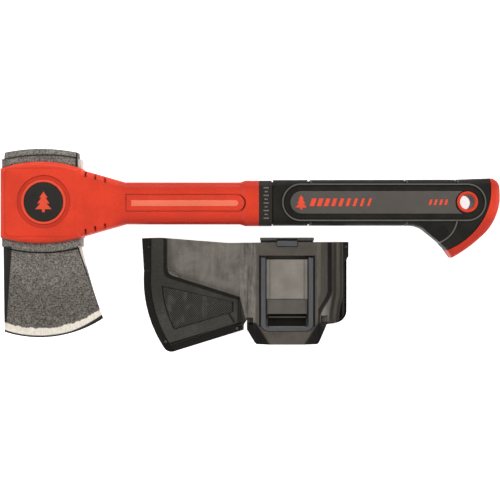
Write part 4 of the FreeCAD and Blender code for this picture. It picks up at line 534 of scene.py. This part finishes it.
def clip_marks(made, colour):
    """The saddle lighter with painted shade along its sides, its thumb flat darker, painted shade in the
    slot under it with a painted highlight on its rib, and a pale ledge.
    """
    low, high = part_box("clip_base")
    middle = (low.x + high.x) / 2
    axes = made.axes()
    aside = made.absolute(made.minus(axes[0], middle))
    inside = made.step(aside, 15.2 * MM, 14.6 * MM)
    cloud = made.noise(9 * MM, 5)
    saddle = made.both(inside, made.between(axes[1], low.y + 22.8 * MM, low.y + 50.6 * MM, 0.3 * MM))
    colour = made.mix(saddle, colour, made.shade(srgb(128, 122, 114), cloud, 0.14))
    # Painted shade along the saddle's curved sides.
    ridge = made.both(saddle, made.between(aside, 11.6 * MM, 12.9 * MM, 0.5 * MM))
    colour = made.cover(colour, ridge, 0.5, srgb(78, 74, 68))
    thumb = made.both(made.step(aside, 13.6 * MM, 13.2 * MM),
                      made.between(axes[1], low.y + 12.2 * MM, low.y + 22.9 * MM, 0.3 * MM))
    colour = made.mix(thumb, colour, made.shade(srgb(90, 86, 80), cloud, 0.1))
    slot = made.both(made.step(aside, 13.8 * MM, 13.2 * MM),
                     made.between(axes[1], low.y + 3.4 * MM, low.y + 12.2 * MM, 0.3 * MM))
    # Painted shade: the slot under the thumb flat made nearly black.
    colour = made.cover(colour, slot, 0.95, srgb(16, 15, 13))
    # Painted highlight on the rib across the slot.
    rib_highlight = made.both(slot, made.between(axes[1], low.y + 9.3 * MM, low.y + 10.5 * MM, 0.2 * MM))
    colour = made.cover(colour, rib_highlight, 0.6, srgb(86, 82, 76))
    ledge = made.both(made.step(aside, 13.2 * MM, 12.6 * MM),
                      made.between(axes[1], low.y + 1.6 * MM, low.y + 3.4 * MM, 0.3 * MM))
    return made.cover(colour, ledge, 0.8, srgb(132, 125, 114))


def finishes():
    """Every material of the object by the name it is used under."""
    return {
        "steel": forged_steel(),
        "orange": moulded("orange_moulding", ORANGE, ORANGE_WORN, 0.5, grain=0.9 * MM, depth=0.08 * MM,
                          spread=0.09, specular=0.25, scuff=0.3, marks=collar_marks),
        "pale": moulded("pale_inlay", PALE_ORANGE, srgb(252, 176, 150), 0.5, depth=0.06 * MM, spread=0.07,
                        specular=0.35),
        "ink": moulded("orange_ink", srgb(228, 78, 50), ORANGE_WORN, 0.5, grain=0.4 * MM, depth=0.03 * MM,
                       spread=0.06, specular=0.3, round_off=0.1 * MM),
        "badge": moulded("badge_black", srgb(34, 31, 27), srgb(70, 66, 60), 0.5, spread=0.15, specular=0.3),
        "rubber": moulded("grip_rubber", BLACK_RUBBER, srgb(84, 82, 76), 0.5, grain=0.8 * MM,
                          depth=0.16 * MM, spread=0.34, specular=0.15, scuff=0.4, marks=grip_lines),
        "eyelet": moulded("eyelet_orange", ORANGE, ORANGE_WORN, 0.5, grain=0.9 * MM, spread=0.09,
                          specular=0.25, round_off=0.4 * MM, scuff=0.3, marks=bore_marks),
        "band": moulded("band_black", srgb(42, 39, 35), srgb(80, 76, 70), 0.5, depth=0.08 * MM,
                        spread=0.15, specular=0.15),
        "grip_panel": moulded("grip_panel", PANEL_GREY, srgb(120, 115, 108), 0.42, grain=0.7 * MM,
                              depth=0.03 * MM, spread=0.07, round_off=0.4 * MM),
        "core": moulded("core_nylon", srgb(40, 39, 37), srgb(80, 78, 74), 0.55, grain=0.6 * MM,
                        depth=0.06 * MM, spread=0.12),
        "sheath": sheath_plastic(),
        "knurl": moulded("sheath_knurl", srgb(46, 45, 41), srgb(110, 105, 98), 0.5, grain=0.4 * MM,
                         depth=0.03 * MM, spread=0.12, specular=0.12, round_off=0.12 * MM, scuff=0.3,
                         marks=knurl_marks),
        "clip": moulded("clip_black", srgb(78, 75, 70), srgb(140, 134, 124), 0.42, grain=0.8 * MM,
                        depth=0.04 * MM, specular=0.15, round_off=0.6 * MM, scuff=0.4, marks=clip_marks),
        "lever": moulded("clip_grey", CLIP_GREY, srgb(130, 132, 136), 0.45, grain=0.6 * MM,
                         depth=0.04 * MM, spread=0.07, round_off=0.4 * MM),
        "ink_grey": moulded("grey_ink", INK_GREY, srgb(200, 196, 190), 0.5, grain=0.4 * MM,
                            depth=0.03 * MM, spread=0.08, specular=0.3),
        "dark_metal": moulded("dark_metal", srgb(66, 64, 61), srgb(150, 148, 144), 0.36, grain=0.4 * MM,
                              spread=0.14, specular=0.6),
        "spring": moulded("spring_steel", srgb(120, 118, 112), srgb(190, 188, 182), 0.3, grain=0.3 * MM,
                          depth=0.04 * MM, spread=0.12, specular=0.7),
    }


FINISH_OF = {
    "axe_head": "steel", "handle_core": "core", "shaft_overmold": "orange", "grip_band": "band",
    "grip_overmold": "rubber", "pommel_cap": "orange", "lanyard_eyelet": "eyelet", "badge_upper": "badge",
    "badge_lower": "badge", "shaft_inlay_upper": "pale", "shaft_inlay_lower": "pale",
    "grip_inlay_upper": "grip_panel", "grip_inlay_lower": "grip_panel", "sheath_back_shell": "sheath",
    "sheath_blade_cover": "sheath", "sheath_poll_cover": "sheath", "sheath_texture_pad": "knurl",
    "sheath_rivets": "dark_metal", "clip_base": "clip", "hinge_pin": "dark_metal",
    "belt_clip_lever": "lever", "clip_spring": "spring",
}


def paint(piece, material):
    piece.data.materials.clear()
    piece.data.materials.append(material)


# ---- added pieces -------------------------------------------------------------------------------

def cad_surface(node):
    """Gives the height of a CAD node's outer surface over or under a point of the table."""
    mesh = NODES[node].data
    tree = BVHTree.FromPolygons([v.co for v in mesh.vertices], [p.vertices for p in mesh.polygons])

    def height(x, y, side):
        hit = tree.ray_cast(Vector((x, y, MID_PLANE + side * 0.1)), Vector((0, 0, -side)))[0]
        return hit.z if hit is not None else None
    return height


def new_piece(name, mesh_maker, material, body):
    """A mesh object made by mesh_maker in a fresh bmesh, painted and riding on a body."""
    work = bmesh.new()
    mesh_maker(work)
    bmesh.ops.recalc_face_normals(work, faces=work.faces)
    mesh = bpy.data.meshes.new(name)
    work.to_mesh(mesh)
    work.free()
    piece = bpy.data.objects.new(name, mesh)
    bpy.context.scene.collection.objects.link(piece)
    paint(piece, material)
    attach(piece, body)
    return piece


def raised(work, outline, height, side, proud, sunk=0.4 * MM):
    """A closed raised shape over the surface: its outline at the surface's own height plus proud."""
    levels = [height(x, y, side) for x, y in outline]
    top = [work.verts.new((x, y, z + side * proud)) for (x, y), z in zip(outline, levels)]
    foot = [work.verts.new((x, y, z - side * sunk)) for (x, y), z in zip(outline, levels)]
    work.faces.new(top)
    work.faces.new(list(reversed(foot)))
    for here in range(len(outline)):
        there = (here + 1) % len(outline)
        work.faces.new((top[there], top[here], foot[here], foot[there]))


def conifer(centre_x, centre_y, tall):
    """The outline of a plain fir tree with three tiers and a trunk, its tip towards +Y."""
    half = [(0, 0.5), (0.2, 0.2), (0.1, 0.2), (0.3, -0.08), (0.15, -0.08), (0.4, -0.36), (0.07, -0.36),
            (0.07, -0.5)]
    right = [(centre_x + x * tall, centre_y + y * tall) for x, y in half]
    left = [(2 * centre_x - x, y) for x, y in reversed(right[1:])]
    return right + left


def slanted_bar(x, y, wide, tall, lean):
    """A parallelogram standing on (x, y) and leaning towards +X."""
    return [(x, y), (x + wide, y), (x + wide + lean, y + tall), (x + lean, y + tall)]


def make_badge_mark(side, ink):
    node = f"badge_{SIDE_NAME[side]}"
    low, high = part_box(node)
    middle, across = (low + high) / 2, high.x - low.x
    height = cad_surface(node)

    def shape(work):
        raised(work, conifer(middle.x, middle.y, across * 0.52), height, side, 0.25 * MM)
    return new_piece(f"badge_tree_{SIDE_NAME[side]}", shape, ink, "hatchet")


def make_grip_marks(side, ink):
    node = f"grip_inlay_{SIDE_NAME[side]}"
    low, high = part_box(node)
    middle = (low + high) / 2
    height = cad_surface(node)
    tall = 5.6 * MM
    first = low.x + 13.4 * MM

    def shape(work):
        raised(work, conifer(low.x + 7.6 * MM, middle.y, 10.4 * MM), height, side, MARK_PROUD)
        for bar in range(9):
            wide = (3.4 - 0.2 * bar) * MM
            outline = slanted_bar(first + bar * 5.1 * MM, middle.y - tall / 2, wide, tall, 1.9 * MM)
            raised(work, outline, height, side, MARK_PROUD)
        for dash in range(4):
            x = high.x - 24.6 * MM + dash * 3.7 * MM
            outline = slanted_bar(x, middle.y - 2 * MM, 1.7 * MM, 4 * MM, 1.2 * MM)
            raised(work, outline, height, side, MARK_PROUD)
    return new_piece(f"grip_marks_{SIDE_NAME[side]}", shape, ink, "hatchet")


def make_band_ticks(side, ink):
    low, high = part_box("grip_band")
    middle = (low + high) / 2
    height = cad_surface("grip_band")

    def shape(work):
        for tick in range(-4, 5):
            long = (3.6 if tick % 2 == 0 else 2.2) * MM
            y = middle.y + tick * 2.7 * MM
            start = middle.x - long / 2
            outline = slanted_bar(start, y - 0.45 * MM, long, 0.9 * MM, 0)
            raised(work, outline, height, side, 0.12 * MM)
    return new_piece(f"band_ticks_{SIDE_NAME[side]}", shape, ink, "hatchet")


def make_knurled_pad(material):
    """The textured pad on the sheath: the CAD pad's outline and slope, with a diamond knurl on top."""
    node = NODES["sheath_texture_pad"]
    points = [v.co.copy() for v in node.data.vertices]
    height = cad_surface("sheath_texture_pad")

    def furthest(x, y):
        return max(points, key=lambda p: p.x * x + p.y * y)
    wide_near, wide_far = furthest(-0.45, 1), furthest(-0.1, -1)
    narrow_near, narrow_far = furthest(1, 0.05), furthest(1, -0.05)
    chord = (wide_far - wide_near).to_2d()
    outward = Vector((chord.y, -chord.x)).normalized()
    if outward.x > 0:
        outward = -outward
    bulge = max((p - wide_near).to_2d().dot(outward) for p in points)
    rows, columns = 190, 120
    ridge, thick = 0.32 * MM, 1.4 * MM
    inset = 0.02

    def place(row, column):
        """The grid point, from the wide curved end (row 0) to the narrow end."""
        u = inset + (1 - 2 * inset) * row / rows
        v = inset + (1 - 2 * inset) * column / columns
        wide = wide_near.to_2d().lerp(wide_far.to_2d(), v) + outward * bulge * (4 * v * (1 - v))
        narrow = narrow_near.to_2d().lerp(narrow_far.to_2d(), v)
        return wide.lerp(narrow, u)

    sample = [place(rows * 0.25, columns * 0.5), place(rows * 0.75, columns * 0.5)]
    levels = [height(p.x, p.y, UP) for p in sample]
    rise = (levels[1] - levels[0]) / (sample[1].x - sample[0].x)

    def plane(x):
        return levels[0] + (x - sample[0].x) * rise

    def knurl(x, y):
        """Height of the diamond knurl: two sets of ridges at 45 degrees."""
        first = abs(math.sin(math.pi * (x + y) / KNURL_PITCH))
        second = abs(math.sin(math.pi * (x - y) / KNURL_PITCH))
        return ridge * min(first, second)

    def shape(work):
        top = []
        foot = []
        for row in range(rows + 1):
            line, under = [], []
            for column in range(columns + 1):
                x, y = place(row, column)
                rim = min(row, rows - row, column, columns - column)
                z = plane(x) + (knurl(x, y) - ridge * 0.6 if rim > 2 else -ridge * 0.5)
                line.append(work.verts.new((x, y, z)))
                border = row in (0, rows) or column in (0, columns)
                under.append(work.verts.new((x, y, plane(x) - thick)) if border else None)
            top.append(line)
            foot.append(under)
        for row in range(rows):
            for column in range(columns):
                work.faces.new((top[row][column], top[row + 1][column], top[row + 1][column + 1],
                                top[row][column + 1]))
        ring = [(0, c) for c in range(columns)] + [(r, columns) for r in range(rows)]
        ring += [(rows, c) for c in range(columns, 0, -1)] + [(r, 0) for r in range(rows, 0, -1)]
        for (row, column), (next_row, next_column) in zip(ring, ring[1:] + ring[:1]):
            work.faces.new((top[row][column], top[next_row][next_column], foot[next_row][next_column],
                            foot[row][column]))
        work.faces.new([foot[row][column] for row, column in ring])
    pad = new_piece("sheath_knurled_pad", shape, material, "sheath")
    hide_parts("sheath_texture_pad")
    return pad


# ---- stage --------------------------------------------------------------------------------------

def aim(thing, target):
    thing.rotation_euler = (Vector(target) - thing.location).to_track_quat("-Z", "Y").to_euler()


def area_light(name, place, size, power, target=(0, 0, 0)):
    data = bpy.data.lights.new(name, "AREA")
    data.shape = "RECTANGLE"
    data.size, data.size_y = size
    data.energy = power
    light = bpy.data.objects.new(name, data)
    bpy.context.scene.collection.objects.link(light)
    light.location = place
    aim(light, target)
    return light


def make_floor():
    made = Finish("floor_paper", specular=0.1)
    colour = made.shade(srgb(250, 250, 250), made.noise(0.4, 3), 0.01)
    made.shader.inputs["Emission Color"].default_value = (1, 1, 1, 1)
    made.shader.inputs["Emission Strength"].default_value = FLOOR_GLOW
    material = made.finish(colour, 0.9)
    mesh = bpy.data.meshes.new("floor")
    corners = [(x * FLOOR_REACH, y * FLOOR_REACH, 0) for x, y in ((-1, -1), (1, -1), (1, 1), (-1, 1))]
    mesh.from_pydata(corners, [], [(0, 1, 2, 3)])
    floor = bpy.data.objects.new("floor", mesh)
    bpy.context.scene.collection.objects.link(floor)
    paint(floor, material)


def make_world():
    """A sky that is pale near the horizon and darker overhead, like a room round a table."""
    world = bpy.data.worlds.new("studio")
    world.use_nodes = True
    tree = world.node_tree
    sky = tree.nodes["Background"]
    ramp = tree.nodes.new("ShaderNodeValToRGB")
    split = tree.nodes.new("ShaderNodeSeparateXYZ")
    coordinates = tree.nodes.new("ShaderNodeTexCoord")
    tree.links.new(coordinates.outputs["Generated"], split.inputs[0])
    tree.links.new(split.outputs[2], ramp.inputs[0])
    tree.links.new(ramp.outputs[0], sky.inputs["Color"])
    ramp.color_ramp.elements[0].position = 0.05
    ramp.color_ramp.elements[0].color = (0.5, 0.5, 0.5, 1)
    ramp.color_ramp.elements[1].position = 0.7
    ramp.color_ramp.elements[1].color = (0.08, 0.08, 0.08, 1)
    sky.inputs["Strength"].default_value = 1.0
    bpy.context.scene.world = world


def make_camera():
    """Straight down over the model's origin, as far away as the view into the lanyard hole asks."""
    data = bpy.data.cameras.new("camera")
    data.sensor_width = 36
    data.lens = 100.8
    camera = bpy.data.objects.new("camera", data)
    bpy.context.scene.collection.objects.link(camera)
    camera.location = (0, 0, CAMERA_HEIGHT)
    bpy.context.scene.camera = camera


# ---- the scene ----------------------------------------------------------------------------------

bpy.context.scene.view_settings.view_transform = "Standard"
materials = finishes()
for node, finish in FINISH_OF.items():
    paint(NODES[node], materials[finish])
for side in (UP, DOWN):
    make_badge_mark(side, materials["ink"])
    make_grip_marks(side, materials["ink"])
    make_band_ticks(side, materials["ink_grey"])
make_knurled_pad(materials["knurl"])

make_floor()
make_world()
make_camera()
area_light("key", (0.1, 1.0, 1.1), (1.4, 0.6), 15)
area_light("right", (1.1, -0.1, 0.9), (0.6, 1.2), 7)
area_light("left", (-1.1, 0.2, 0.9), (0.6, 1.2), 6)
area_light("front", (0.0, -1.1, 1.0), (1.4, 0.5), 5)
